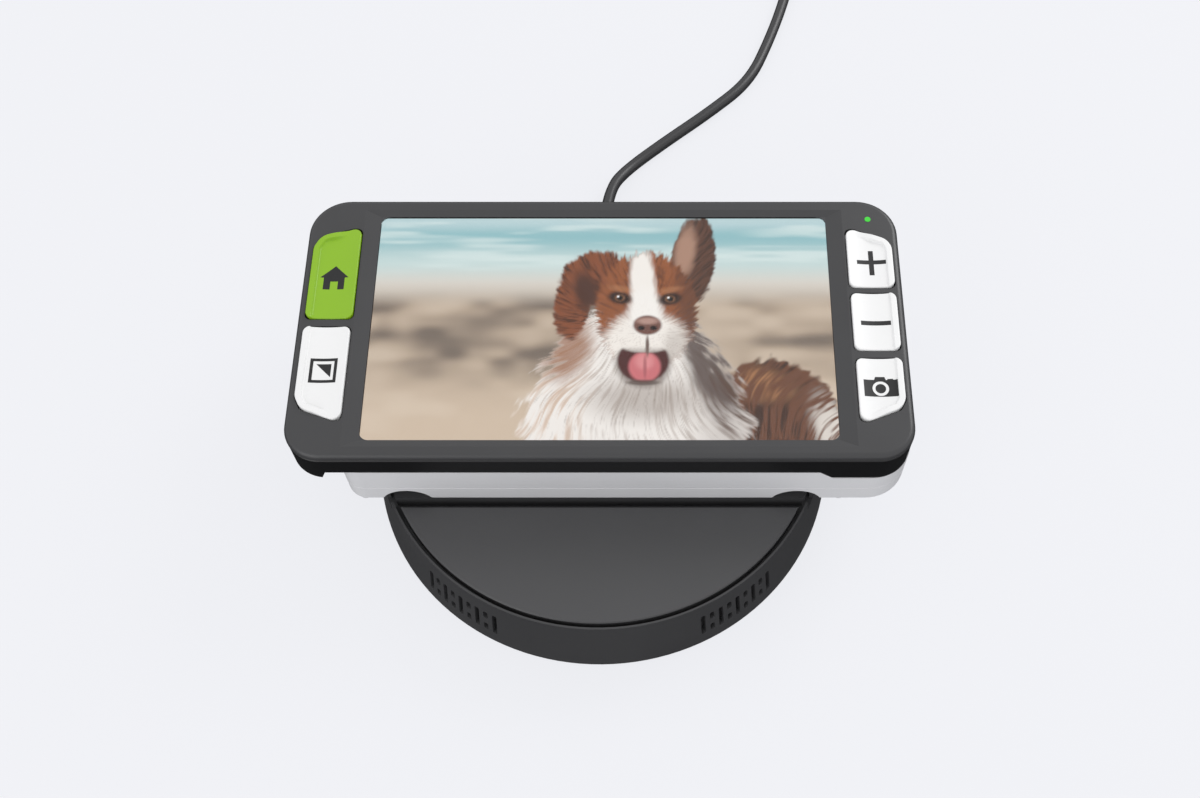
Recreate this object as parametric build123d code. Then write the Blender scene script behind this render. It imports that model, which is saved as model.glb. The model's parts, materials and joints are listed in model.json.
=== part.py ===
from build123d import *
import math
import os

# A handheld low vision magnifier lying on its round charging and speaker dock.
# Millimetres, +Z up. The origin is the centre of the dock's disc, on the desk.
# +X runs along the magnifier's long side, and -Y is the side that faces the reader.

# ---- driving dimensions: dock -------------------------------------------------------
DOCK_BASE_RADIUS = 69.9       # 140 mm disc at the desk
DOCK_TOP_RADIUS = 67.1        # the wall leans in towards its top
GROOVE_OUTER_RADIUS = 66.5
PLATE_RADIUS = 65.2
PLATE_TOP_Z = 23.2
DECK_TOP_Z = 19.2
DECK_THICKNESS = 2.0
FOOT_HEIGHT = 0.6             # clear height under the base plate
RIM_HEIGHT = 1.0
WALL = 2.2
PLATE_REAR_Y = -29.1
CRADLE_FRONT_Y = -27.0
CRADLE_RADIUS = 65.6
CRADLE_FLOOR_Z = 24.6

# ---- driving dimensions: magnifier --------------------------------------------------
MAGNIFIER_X = 0.7             # the magnifier sits this far off the middle of its seat
BODY_LENGTH = 176.6
BODY_FRONT_Y, BODY_REAR_Y = -27.3, 60.5
BODY_FRONT_CORNER, BODY_REAR_CORNER = 10.5, 12.0
FRONT_Z = 51.4                # front face, which looks up when docked
SEAM_Z = 49.2                 # parting line between bezel and middle frame
MIDDLE_BOTTOM_Z = 41.9        # underside of the middle frame between the grips
GRIP_BOTTOM_Z = 38.4          # underside of the thicker end grips
COVER_SEAM_Z = 31.7           # parting line between rear housing and rear cover
COVER_BOTTOM_Z = 25.1         # underside of the magnifier
GREY_LEFT_X, GREY_RIGHT_X = -74.3, 88.9
RECESS_DEPTH = 1.0            # the bevelled picture frame around the display
SCREEN_HALF_LENGTH = 67.05
SCREEN_FRONT_Y, SCREEN_REAR_Y = -21.3, 54.6
RECESS_HALF_LENGTH = 71.8
RECESS_FRONT_Y, RECESS_REAR_Y = -23.8, 56.6
SCREEN_CORNER = 2.6
GLASS_THICKNESS = 0.55
PANEL_GAP = 0.15              # around the raised part of the panel in the bezel's window

# ---- driving dimensions: buttons ----------------------------------------------------
BUTTON_PROUD = 1.0
BUTTON_TRAVEL = 0.8
BUTTON_GAP = 0.3
FLANGE_TOP_Z, FLANGE_BOTTOM_Z = 48.9, 48.0
FLANGE_WIDTH = 0.8
BUTTON_SKIRT_X = 85.1         # below the bezel the buttons keep inside the frame's wall
INNER_WALL_X = 85.4

# ---- driving dimensions: cord -------------------------------------------------------
CORD_DIAMETER = 4.0
SOCKET_Z = 6.5
COIL_CENTRE = (97.0, 243.0)
COIL_MEAN_RADIUS = 23.0
COIL_TURNS_ACROSS = 3
TIE_THICKNESS = 0.6

os.makedirs("parts", exist_ok=True)


def save(name, shape):
    """Write one sub-part as its own STEP file."""
    export_step(shape, f"parts/{name}.step")


def block(x0, x1, y0, y1, z0, z1):
    """A plain box between two corners."""
    return Pos((x0 + x1) / 2, (y0 + y1) / 2, (z0 + z1) / 2) * Box(x1 - x0, y1 - y0, z1 - z0)


def rounded_block(x0, x1, y0, y1, z0, z1, corner):
    """A box whose upright edges are rounded."""
    outline = RectangleRounded(x1 - x0, y1 - y0, corner)
    return extrude(Pos((x0 + x1) / 2, (y0 + y1) / 2, z0) * outline, z1 - z0)


def two_corner_block(x0, x1, y0, y1, z0, z1, axis, low_corner, high_corner):
    """A box with one radius on its upright edges low on an axis and another on the high ones."""
    shape = block(x0, x1, y0, y1, z0, z1)
    shape = fillet(shape.edges().filter_by(Axis.Z).group_by(axis)[0], low_corner)
    return fillet(shape.edges().filter_by(Axis.Z).group_by(axis)[-1], high_corner)


def disc(radius, z0, z1, x=0.0, y=0.0):
    """An upright round bar or plate."""
    return Pos(x, y, (z0 + z1) / 2) * Cylinder(radius, z1 - z0)


def turned(points):
    """A body turned about Z from a list of (radius, z) corners."""
    profile = make_face(Polyline(*[(r, 0, z) for r, z in points], close=True))
    return revolve(profile, Axis.Z)


def prism_z(points, z0, z1):
    """An upright prism from plan corners."""
    return extrude(Pos(0, 0, z0) * make_face(Polyline(*points, close=True)), z1 - z0)


def prism_y(points, y0, y1):
    """A prism along Y from (x, z) corners."""
    face = make_face(Polyline(*[(x, y0, z) for x, z in points], close=True))
    return extrude(face, y1 - y0, dir=(0, 1, 0))


def group(shapes):
    """Several separate solids kept in one node."""
    return Compound(children=[solid for shape in shapes for solid in shape.solids()])


def save_magnifier(name, shape):
    """Write one of the magnifier's sub-parts, moved from its own centre to its seat."""
    moved = [Pos(MAGNIFIER_X, 0, 0) * solid for solid in shape.solids()]
    save(name, group(moved) if len(moved) > 1 else moved[0])


def dock_wall_radius(z):
    """Outer radius of the dock's leaning wall at a height."""
    foot = FOOT_HEIGHT + RIM_HEIGHT
    share = (z - foot) / (PLATE_TOP_Z - foot)
    return DOCK_BASE_RADIUS + share * (DOCK_TOP_RADIUS - DOCK_BASE_RADIUS)


def dock_inner_radius(z):
    """Inner radius of the dock's wall at a height."""
    return dock_wall_radius(z) - WALL


# ---- what the dock's pieces share ---------------------------------------------------
BASE_Z = FOOT_HEIGHT + RIM_HEIGHT
DECK_BOTTOM_Z = DECK_TOP_Z - DECK_THICKNESS
BASE_INNER_Z = 3.0
SCREW_RADIUS_AT = 48.0
SCREW_ANGLES = (45, 135, 200, 340)
SCREW_SHANK, SCREW_HEAD = 1.4, 2.8
SLOT_Z = 11.7
SLOT_FIRST, SLOT_STEP, SLOT_COLUMNS = 26.8, 2.475, 9
SLOT_WIDTH, SLOT_LONG, SLOT_SHORT, SLOT_SHORT_OFFSET = 1.5, 11.0, 3.8, 3.4
SLOT_TILT = 8.5
BLOCK_X, BLOCK_Y0, BLOCK_Y1 = 15.0, -18.0, -10.0
PIN_Y = (BLOCK_Y0 + BLOCK_Y1) / 2
PIN_SPACING, PIN_COUNT, PIN_RADIUS = 5.0, 5, 0.9
PIN_STEP_RADIUS = 1.3
RIDGE_X, RIDGE_HALF, RIDGE_HEIGHT = 56.6, 6.7, 4.5
RIDGE_FRONT_Y, RIDGE_REAR_Y = -24.2, -12.0
CHANNEL_GAP = 0.5
SOCKET_FRONT_Y, SOCKET_MOUTH_Y = 61.2, 68.6
screw_places = [
    (SCREW_RADIUS_AT * math.cos(math.radians(a)), SCREW_RADIUS_AT * math.sin(math.radians(a)))
    for a in SCREW_ANGLES
]


def arch(centre_x, half_width, height, foot_z, y0, y1):
    """A rounded ridge along Y whose section is a low arc with straight skirts."""
    drop = 2.0
    section = make_face(
        Polyline(
            (centre_x + half_width, y0, foot_z),
            (centre_x + half_width, y0, foot_z - drop),
            (centre_x - half_width, y0, foot_z - drop),
            (centre_x - half_width, y0, foot_z),
        ).edges()
        + ThreePointArc(
            (centre_x - half_width, y0, foot_z),
            (centre_x, y0, foot_z + height),
            (centre_x + half_width, y0, foot_z),
        ).edges()
    )
    return extrude(section, y1 - y0, dir=(0, 1, 0))


def slot_cutters(side):
    """Speaker slots through the wall: long ones, with pairs of short ones between."""
    cutters = []
    for column in range(SLOT_COLUMNS):
        azimuth = math.radians(SLOT_FIRST + column * SLOT_STEP)
        outward = Vector(side * math.sin(azimuth), -math.cos(azimuth), 0)
        radius = dock_wall_radius(SLOT_Z)
        centre = Vector(outward.X * radius, outward.Y * radius, SLOT_Z)
        plane = Plane(origin=centre, x_dir=(0, 0, 1), z_dir=outward)
        plane = plane.rotated((0, 0, side * SLOT_TILT))
        if column % 2 == 0:
            slots = [(0.0, SLOT_LONG)]
        else:
            slots = [(SLOT_SHORT_OFFSET, SLOT_SHORT), (-SLOT_SHORT_OFFSET, SLOT_SHORT)]
        for offset, length in slots:
            sketch = plane * Pos(offset, 0, -5) * SlotOverall(length, SLOT_WIDTH)
            cutters.append(extrude(sketch, 9, dir=outward))
    return cutters


# ---- dock housing: leaning wall, deck, groove and notches ---------------------------
housing = turned([
    (DOCK_BASE_RADIUS, BASE_Z),
    (DOCK_TOP_RADIUS, PLATE_TOP_Z),
    (GROOVE_OUTER_RADIUS, PLATE_TOP_Z),
    (GROOVE_OUTER_RADIUS, DECK_TOP_Z),
    (0, DECK_TOP_Z),
    (0, DECK_BOTTOM_Z),
    (dock_inner_radius(DECK_BOTTOM_Z), DECK_BOTTOM_Z),
    (dock_inner_radius(BASE_Z), BASE_Z),
])
for side in (-1, 1):
    notch = [(side * 59.2, -26.0), (side * 61.5, -28.4), (side * 64.5, -26.0), (side * 64.5, -24.4),
             (side * 59.2, -24.4)]
    housing -= prism_z(notch, DECK_TOP_Z, PLATE_TOP_Z + 1)
    for cutter in slot_cutters(side):
        housing -= cutter
housing -= block(-5.0, 5.0, SOCKET_FRONT_Y, DOCK_BASE_RADIUS + 1, SOCKET_Z - 2.1, SOCKET_Z + 2.1)
housing -= block(-BLOCK_X, BLOCK_X, BLOCK_Y0, BLOCK_Y1, DECK_BOTTOM_Z - 1, DECK_TOP_Z + 1)
for x, y in screw_places:
    housing += disc(3.4, BASE_INNER_Z, DECK_BOTTOM_Z, x, y)
    housing -= disc(SCREW_SHANK, BASE_INNER_Z - 1, BASE_INNER_Z + 8, x, y)
save("dock_housing", housing)

# ---- dock base plate, feet, screws and weight ---------------------------------------
FEET_RADIUS_AT, FEET_RADIUS, FEET_POCKET = 57.0, 6.0, 0.9
foot_places = [
    (FEET_RADIUS_AT * math.cos(math.radians(a)), FEET_RADIUS_AT * math.sin(math.radians(a)))
    for a in (0, 90, 180, 270)
]
base = disc(DOCK_BASE_RADIUS, FOOT_HEIGHT, BASE_Z)
base = chamfer(base.edges().group_by(Axis.Z)[0], 0.3)
base += disc(dock_inner_radius(BASE_INNER_Z) - 0.2, BASE_Z, BASE_INNER_Z)
for x, y in foot_places:
    base -= disc(FEET_RADIUS, 0, FOOT_HEIGHT + FEET_POCKET, x, y)
for x, y in screw_places:
    base -= disc(SCREW_HEAD + 0.2, 0, FOOT_HEIGHT + 1.2, x, y)
    base -= disc(SCREW_SHANK, 0, BASE_INNER_Z + 1, x, y)
save("dock_base_plate", base)

feet = []
for x, y in foot_places:
    foot = disc(FEET_RADIUS, 0, FOOT_HEIGHT + FEET_POCKET, x, y)
    feet.append(fillet(foot.edges().group_by(Axis.Z)[0], 0.4))
save("dock_feet", group(feet))

screws = []
for x, y in screw_places:
    screw = disc(SCREW_HEAD, FOOT_HEIGHT, FOOT_HEIGHT + 1.2, x, y)
    screw += disc(SCREW_SHANK, FOOT_HEIGHT + 1.2, BASE_INNER_Z + 7.5, x, y)
    screws.append(screw - disc(1.3, 0, FOOT_HEIGHT + 0.7, x, y))
save("dock_screws", group(screws))
save("dock_weight", disc(41.0, BASE_INNER_Z, BASE_INNER_Z + 3.6) - disc(4.0, 0, 10))

# ---- dock top plate: the flat the reader sees, inset in the ring ---------------------
plate = disc(PLATE_RADIUS, DECK_TOP_Z, PLATE_TOP_Z)
plate -= block(-80, 80, PLATE_REAR_Y, 80, 0, 40)
plate = chamfer(plate.edges().group_by(Axis.Z)[-1], 0.35)
save("dock_top_plate", plate)

# ---- cradle: deck behind the plate, with ridges and a rear lip ----------------------
REAR_LIP_Y, REAR_LIP_TOP_Z = 61.3, 30.0
cradle = disc(CRADLE_RADIUS, DECK_TOP_Z, CRADLE_FLOOR_Z)
lip = disc(CRADLE_RADIUS, CRADLE_FLOOR_Z, REAR_LIP_TOP_Z) & block(-40, 40, REAR_LIP_Y, 80, 0, 40)
cradle -= disc(CRADLE_RADIUS - 2.4, DECK_TOP_Z, CRADLE_FLOOR_Z - 2.2)
cradle += block(-BLOCK_X - 2, BLOCK_X + 2, BLOCK_Y0 - 2, BLOCK_Y1 + 2, DECK_TOP_Z, CRADLE_FLOOR_Z)
cradle += block(-70, 70, CRADLE_FRONT_Y, CRADLE_FRONT_Y + 2.4, DECK_TOP_Z, CRADLE_FLOOR_Z) & disc(
    CRADLE_RADIUS, 0, 40)
cradle += lip
for side in (-1, 1):
    ridge = arch(MAGNIFIER_X + side * RIDGE_X, RIDGE_HALF, RIDGE_HEIGHT, COVER_BOTTOM_Z,
                 RIDGE_FRONT_Y, RIDGE_REAR_Y)
    cradle += ridge & disc(CRADLE_RADIUS, 0, 60)
cradle -= block(-80, 80, -80, CRADLE_FRONT_Y, 0, 60)
cradle -= block(-BLOCK_X, BLOCK_X, BLOCK_Y0, BLOCK_Y1, 0, 60)
PAD_X0, PAD_X1, PAD_Y0, PAD_Y1, PAD_POCKET = 24.0, 40.0, -8.0, 46.0, 0.7
for side in (-1, 1):
    x0, x1 = sorted((side * PAD_X0, side * PAD_X1))
    cradle -= rounded_block(x0, x1, PAD_Y0, PAD_Y1, CRADLE_FLOOR_Z - PAD_POCKET, 30, 3)
    pad = rounded_block(x0, x1, PAD_Y0, PAD_Y1, CRADLE_FLOOR_Z - PAD_POCKET, COVER_BOTTOM_Z, 3)
    pad = fillet(pad.edges().group_by(Axis.Z)[-1], 0.3)
    save("cradle_pad_left" if side < 0 else "cradle_pad_right", pad)
save("cradle", cradle)

# ---- charging contacts --------------------------------------------------------------
pin_places = [(PIN_SPACING * (n - (PIN_COUNT - 1) / 2), PIN_Y) for n in range(PIN_COUNT)]
PIN_CHAMBER_Z0, PIN_CHAMBER_Z1, PIN_FOOT_Z = 17.2, 20.4, 18.0
contact_block = block(-BLOCK_X, BLOCK_X, BLOCK_Y0, BLOCK_Y1, 15.0, CRADLE_FLOOR_Z)
pins = []
for x, y in pin_places:
    contact_block -= disc(PIN_RADIUS + 0.1, PIN_CHAMBER_Z0, 30, x, y)
    contact_block -= disc(PIN_STEP_RADIUS + 0.1, PIN_CHAMBER_Z0, PIN_CHAMBER_Z1, x, y)
    pin = disc(PIN_RADIUS, PIN_FOOT_Z, COVER_BOTTOM_Z, x, y)
    pin = fillet(pin.edges().group_by(Axis.Z)[-1], 0.5)
    pins.append(pin + disc(PIN_STEP_RADIUS, PIN_FOOT_Z, PIN_FOOT_Z + 1.6, x, y))
save("contact_block", contact_block)
save("contact_pins", group(pins))

# ---- dock electronics: board and power socket ---------------------------------------
save("dock_board", block(-24, 24, 44, 62, BASE_INNER_Z, SOCKET_Z - 1.63))
SOCKET_BODY, SOCKET_HOLE = (8.94, 3.26), (8.4, 2.6)
SHELL = (8.25, 2.4)


def racetrack(width, height, y0, y1, z, corner):
    """A rounded bar along Y, centred on X = 0."""
    outline = Plane(origin=(0, y0, z), x_dir=(1, 0, 0), z_dir=(0, 1, 0)) * RectangleRounded(
        width, height, corner)
    return extrude(outline, y1 - y0, dir=(0, 1, 0))


socket = racetrack(*SOCKET_BODY, SOCKET_FRONT_Y, SOCKET_MOUTH_Y, SOCKET_Z, 1.2)
socket -= racetrack(*SOCKET_HOLE, SOCKET_FRONT_Y + 1, SOCKET_MOUTH_Y + 1, SOCKET_Z, 1.25)
save("power_socket", socket)

# ---- speakers, one behind each group of slots ---------------------------------------
SPEAKER_AZIMUTH = SLOT_FIRST + SLOT_STEP * (SLOT_COLUMNS - 1) / 2
SPEAKER_Z, SPEAKER_LENGTH, SPEAKER_HEIGHT, SPEAKER_FACE_R = 10.2, 34.0, 12.6, 59.0
for side, name in ((-1, "left"), (1, "right")):
    azimuth = math.radians(SPEAKER_AZIMUTH)
    outward = Vector(side * math.sin(azimuth), -math.cos(azimuth), 0)
    plane = Plane(
        origin=(outward.X * SPEAKER_FACE_R, outward.Y * SPEAKER_FACE_R, SPEAKER_Z),
        x_dir=(outward.Y, -outward.X, 0), z_dir=outward)
    basket = extrude(plane * RectangleRounded(SPEAKER_LENGTH, SPEAKER_HEIGHT, 2.5), -4)
    basket -= extrude(plane * SlotOverall(SPEAKER_LENGTH - 4, SPEAKER_HEIGHT - 3.6), -2.4)
    basket -= extrude(plane * Circle(3.4), -4)
    cone = extrude(plane * Pos(0, 0, -2.4) * SlotOverall(SPEAKER_LENGTH - 4.2, SPEAKER_HEIGHT - 3.8), 1.6)
    cone -= extrude(plane * Pos(0, 0, -1.6) * SlotOverall(SPEAKER_LENGTH - 9, SPEAKER_HEIGHT - 7), 1.2)
    magnet = extrude(plane * Pos(0, 0, -4) * Circle(5.4), -5.5)
    magnet += extrude(plane * Pos(0, 0, -2.4) * Circle(3.2), -1.6)
    save(f"speaker_basket_{name}", basket)
    save(f"speaker_cone_{name}", cone)
    save(f"speaker_magnet_{name}", magnet)
    MESH_Z0, MESH_Z1, MESH_THICK = 4.6, DECK_BOTTOM_Z - 0.2, 0.5
    mesh = turned([
        (dock_inner_radius(MESH_Z0) - MESH_THICK, MESH_Z0),
        (dock_inner_radius(MESH_Z0), MESH_Z0),
        (dock_inner_radius(MESH_Z1), MESH_Z1),
        (dock_inner_radius(MESH_Z1) - MESH_THICK, MESH_Z1),
    ])
    reach = 90.0
    low, high = math.radians(SPEAKER_AZIMUTH - 13), math.radians(SPEAKER_AZIMUTH + 13)
    wedge = [(0, 0), (side * reach * math.sin(low), -reach * math.cos(low)),
             (side * reach * math.sin(high), -reach * math.cos(high))]
    save(f"speaker_mesh_{name}", mesh & prism_z(wedge, 0, 30))

# ---- button outlines, in plan -------------------------------------------------------
button_outlines = {
    "home_button": [
        (-72.2, 17.8), (-72.2, 49.4), (-74.8, 49.4), (-83.9, 46.7), (-86.0, 42.7), (-86.0, 17.8)],
    "mode_button": [
        (-72.4, 15.0), (-72.4, -15.6), (-74.7, -15.6), (-84.1, -12.1), (-86.0, -8.3), (-86.0, 15.0)],
    "zoom_in_button": [(72.6, 28.6), (72.6, 49.3), (74.9, 49.3), (84.6, 45.4), (86.0, 42.6), (86.0, 28.6)],
    "zoom_out_button": [(72.7, 7.1), (72.7, 26.5), (86.0, 26.5), (86.0, 7.1)],
    "capture_button": [(72.8, 4.4), (72.8, -16.0), (75.0, -16.0), (84.4, -12.2), (86.0, -9.2), (86.0, 4.4)],
}
BUTTON_CORNER = 1.6
LIGHT_X, LIGHT_Y, LIGHT_RADIUS = 79.6, 53.1, 0.9


def button_face(outline, grow=0.0):
    """A button's plan outline with rounded corners, grown by a margin."""
    face = make_face(Polyline(*outline, close=True))
    face = fillet(face.vertices(), BUTTON_CORNER)
    return offset(face, amount=grow) if grow else face


inside_frame = block(-BUTTON_SKIRT_X, BUTTON_SKIRT_X, -60, 90, 40, 60)
for name, outline in button_outlines.items():
    cap_bottom_z = SEAM_Z + BUTTON_TRAVEL + 0.1
    cap = extrude(Pos(0, 0, cap_bottom_z) * button_face(outline), FRONT_Z + BUTTON_PROUD - cap_bottom_z)
    cap = fillet(cap.edges().group_by(Axis.Z)[-1], 0.5)
    skirt = extrude(Pos(0, 0, FLANGE_BOTTOM_Z) * button_face(outline), cap_bottom_z - FLANGE_BOTTOM_Z)
    flange = extrude(
        Pos(0, 0, FLANGE_BOTTOM_Z) * button_face(outline, FLANGE_WIDTH), FLANGE_TOP_Z - FLANGE_BOTTOM_Z)
    save_magnifier(name, cap + ((skirt + flange) & inside_frame))

# ---- front bezel with the bevelled display frame ------------------------------------
BEZEL_EDGE_RADIUS, BEZEL_SEAM_CHAMFER, FRAME_SEAM_CHAMFER = 1.7, 0.35, 0.6
body_outline = (-BODY_LENGTH / 2, BODY_LENGTH / 2, BODY_FRONT_Y, BODY_REAR_Y)
bezel = two_corner_block(
    *body_outline, SEAM_Z, FRONT_Z, Axis.Y, BODY_FRONT_CORNER, BODY_REAR_CORNER)
bezel = fillet(bezel.edges().group_by(Axis.Z)[-1], BEZEL_EDGE_RADIUS)
bezel = chamfer(bezel.edges().group_by(Axis.Z)[0], BEZEL_SEAM_CHAMFER)
screen_mid_y = (SCREEN_FRONT_Y + SCREEN_REAR_Y) / 2
recess_mid_y = (RECESS_FRONT_Y + RECESS_REAR_Y) / 2
bevel = loft([
    Plane(origin=(0, screen_mid_y, FRONT_Z - RECESS_DEPTH)) * Rectangle(
        2 * SCREEN_HALF_LENGTH, SCREEN_REAR_Y - SCREEN_FRONT_Y),
    Plane(origin=(0, recess_mid_y, FRONT_Z)) * Rectangle(
        2 * RECESS_HALF_LENGTH, RECESS_REAR_Y - RECESS_FRONT_Y),
])
bezel -= bevel
screen_outline = (-SCREEN_HALF_LENGTH, SCREEN_HALF_LENGTH, SCREEN_FRONT_Y, SCREEN_REAR_Y)
bezel -= rounded_block(*screen_outline, SEAM_Z - 1, FRONT_Z + 1, SCREEN_CORNER)
for outline in button_outlines.values():
    bezel -= extrude(Pos(0, 0, SEAM_Z - 1) * button_face(outline, BUTTON_GAP), 5)
bezel -= disc(LIGHT_RADIUS, SEAM_Z - 1, FRONT_Z + 1, LIGHT_X, LIGHT_Y)
save_magnifier("front_bezel", bezel)
GLASS_TOP_Z = FRONT_Z - RECESS_DEPTH
GLASS_BOTTOM_Z = GLASS_TOP_Z - GLASS_THICKNESS
save_magnifier(
    "display_glass", rounded_block(*screen_outline, GLASS_BOTTOM_Z, GLASS_TOP_Z, SCREEN_CORNER))
save_magnifier("status_light", disc(LIGHT_RADIUS, 46.3, FRONT_Z + 0.1, LIGHT_X, LIGHT_Y))

# ---- middle frame: the dark side band with thicker end grips -------------------------
GRIP_LEFT_X, GRIP_LEFT_STEP_X = -78.9, -77.5
GRIP_RIGHT_STEP_X, GRIP_RIGHT_X = 62.0, 66.0
SIDE_INSET = 0.1
half = BODY_LENGTH / 2 - SIDE_INSET
frame_y = (BODY_FRONT_Y + SIDE_INSET, BODY_REAR_Y - SIDE_INSET)
underside = [
    (-100, GRIP_BOTTOM_Z), (GRIP_LEFT_X, GRIP_BOTTOM_Z), (GRIP_LEFT_STEP_X, MIDDLE_BOTTOM_Z),
    (GRIP_RIGHT_STEP_X, MIDDLE_BOTTOM_Z), (GRIP_RIGHT_X, GRIP_BOTTOM_Z), (100, GRIP_BOTTOM_Z),
]
middle = two_corner_block(-half, half, *frame_y, GRIP_BOTTOM_Z, SEAM_Z, Axis.Y,
                          BODY_FRONT_CORNER - SIDE_INSET, BODY_REAR_CORNER - SIDE_INSET)
middle = fillet(middle.edges().group_by(Axis.Z)[0], 0.5)
middle = chamfer(middle.edges().group_by(Axis.Z)[-1], FRAME_SEAM_CHAMFER)
middle = middle & prism_y(underside + [(100, SEAM_Z), (-100, SEAM_Z)], -60, 90)
FRAME_FLOOR_Z = 43.2
middle -= rounded_block(
    -INNER_WALL_X, INNER_WALL_X, BODY_FRONT_Y + 2.4, BODY_REAR_Y - 2.4, FRAME_FLOOR_Z, 60, 9.0)
CAMERA_X, CAMERA_Y = 0.0, 17.0
LAMP_OFFSET = 18.0
middle -= block(-12, 12, 5, 29, 30, FRAME_FLOOR_Z + 1)
middle -= rounded_block(55, 59, -8, 42, 30, FRAME_FLOOR_Z + 1, 1.5)
save_magnifier("middle_frame", middle)

# ---- display stack, chassis and switch sheets ---------------------------------------
CHASSIS_Z, PANEL_Z = 45.2, 46.4
panel = block(-69, 69, -23.0, 56.4, PANEL_Z, SEAM_Z)
panel += rounded_block(
    PANEL_GAP - SCREEN_HALF_LENGTH, SCREEN_HALF_LENGTH - PANEL_GAP, SCREEN_FRONT_Y + PANEL_GAP,
    SCREEN_REAR_Y - PANEL_GAP, SEAM_Z, GLASS_BOTTOM_Z, SCREEN_CORNER - PANEL_GAP)
save_magnifier("display_panel", panel)
chassis = block(-69.6, 69.6, -23.4, 56.8, CHASSIS_Z, PANEL_Z)
for n in range(4):
    chassis -= rounded_block(-60 + 31 * n, -37 + 31 * n, -10, 44, 40, 60, 4)
save_magnifier("chassis_plate", chassis)
for side, name in ((-1, "left"), (1, "right")):
    x0, x1 = sorted((side * 70.6, side * 85.0))
    y1 = 50.4
    SWITCH_Z, KEYPAD_Z, KEYPAD_TOP_Z = 44.9, 46.3, 47.0
    save_magnifier(f"switch_board_{name}", block(x0, x1, -16.6, y1, SWITCH_Z, KEYPAD_Z))
    keypad = rounded_block(x0, x1, -16.6, y1, KEYPAD_Z, KEYPAD_TOP_Z, 1.5)
    save_magnifier(f"keypad_{name}", keypad)

# ---- rear housing: upper light-grey shell -------------------------------------------
GREY_LEFT_CORNER, GREY_RIGHT_CORNER = 6.0, 12.0


def grey_outline(z0, z1, inset=0.0):
    """The light-grey shells' plan: a tight corner radius on the left, the body's on the right."""
    return two_corner_block(
        GREY_LEFT_X + inset, GREY_RIGHT_X - inset, BODY_FRONT_Y + inset, BODY_REAR_Y - inset,
        z0, z1, Axis.X, GREY_LEFT_CORNER - inset, GREY_RIGHT_CORNER - inset)


HOUSING_FLOOR_Z = 33.3
under_frame = prism_y([(-100, MIDDLE_BOTTOM_Z), (GRIP_RIGHT_STEP_X, MIDDLE_BOTTOM_Z),
                       (GRIP_RIGHT_X, GRIP_BOTTOM_Z), (100, GRIP_BOTTOM_Z), (100, 20), (-100, 20)], -60, 90)
rear_housing = grey_outline(COVER_SEAM_Z, MIDDLE_BOTTOM_Z) & under_frame
rear_housing -= grey_outline(HOUSING_FLOOR_Z, 50, inset=2.0)
rear_housing = chamfer(rear_housing.faces().sort_by(Axis.Z)[0].outer_wire().edges(), 0.2)
rear_housing -= disc(7.0, 30, 40, CAMERA_X, CAMERA_Y)
for side in (-1, 1):
    rear_housing -= disc(4.0, 30, 40, CAMERA_X + side * LAMP_OFFSET, CAMERA_Y)
save_magnifier("rear_housing", rear_housing)

# ---- rear cover: lower light-grey shell that rests in the cradle ---------------------
cover_screws = [(-50.0, 10.0), (-50.0, 50.0), (70.0, -10.0), (70.0, 50.0)]
COVER_FLOOR_Z = 27.0
cover = grey_outline(COVER_BOTTOM_Z, COVER_SEAM_Z)
cover = fillet(cover.faces().sort_by(Axis.Z)[0].outer_wire().edges(), 0.6)
cover = chamfer(cover.faces().sort_by(Axis.Z)[-1].outer_wire().edges(), 0.2)
hollow = grey_outline(COVER_FLOOR_Z, 40, inset=2.0)
for side in (-1, 1):
    reserve = (side * (RIDGE_X - RIDGE_HALF - 2.6), side * (RIDGE_X + RIDGE_HALF + 2.6))
    hollow -= block(min(reserve), max(reserve), -40, RIDGE_REAR_Y + 3, 0, 60)
    hollow -= disc(6.0, 0, 60, CAMERA_X + side * LAMP_OFFSET, CAMERA_Y)
hollow -= disc(10.5, 0, 60, CAMERA_X, CAMERA_Y)
for x, y in cover_screws:
    hollow -= disc(4.0, 0, 60, x, y)
hollow -= block(-BLOCK_X, BLOCK_X, BLOCK_Y0, BLOCK_Y1, 0, COVER_FLOOR_Z + 1.4)
cover -= hollow
for side in (-1, 1):
    cover -= arch(side * RIDGE_X, RIDGE_HALF + CHANNEL_GAP, RIDGE_HEIGHT + CHANNEL_GAP, COVER_BOTTOM_Z,
                  BODY_FRONT_Y - 1, RIDGE_REAR_Y + 0.6)
    cover -= disc(4.0, 0, 60, CAMERA_X + side * LAMP_OFFSET, CAMERA_Y)
cover -= disc(8.4, 0, 60, CAMERA_X, CAMERA_Y)
CHARGE_PAD_RADIUS, CHARGE_PAD_TOP_Z = 1.4, 26.2
charge_pads = []
for pin_x, y in pin_places:
    x = pin_x - MAGNIFIER_X
    cover -= disc(CHARGE_PAD_RADIUS, 0, CHARGE_PAD_TOP_Z, x, y)
    charge_pads.append(disc(CHARGE_PAD_RADIUS, COVER_BOTTOM_Z, CHARGE_PAD_TOP_Z, x, y))
NUB_X0, NUB_X1, NUB_BOTTOM_Z, NUB_TOP_Z = 67.9, 70.5, 24.3, 26.6
nubs = []
for side in (-1, 1):
    for y0 in (BODY_FRONT_Y + 0.4, BODY_REAR_Y - 5.4):
        x0, x1 = sorted((side * NUB_X0, side * NUB_X1))
        nub = rounded_block(x0, x1, y0, y0 + 5.0, NUB_BOTTOM_Z, NUB_TOP_Z, 1.2)
        cover -= nub
        nubs.append(nub)
for x, y in cover_screws:
    cover -= disc(2.6, 0, COVER_BOTTOM_Z + 1.4, x, y)
    cover -= disc(1.2, 0, 60, x, y)
save_magnifier("rear_cover", cover)
save_magnifier("charging_pads", group(charge_pads))
save_magnifier("slide_feet", group(nubs))

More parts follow.
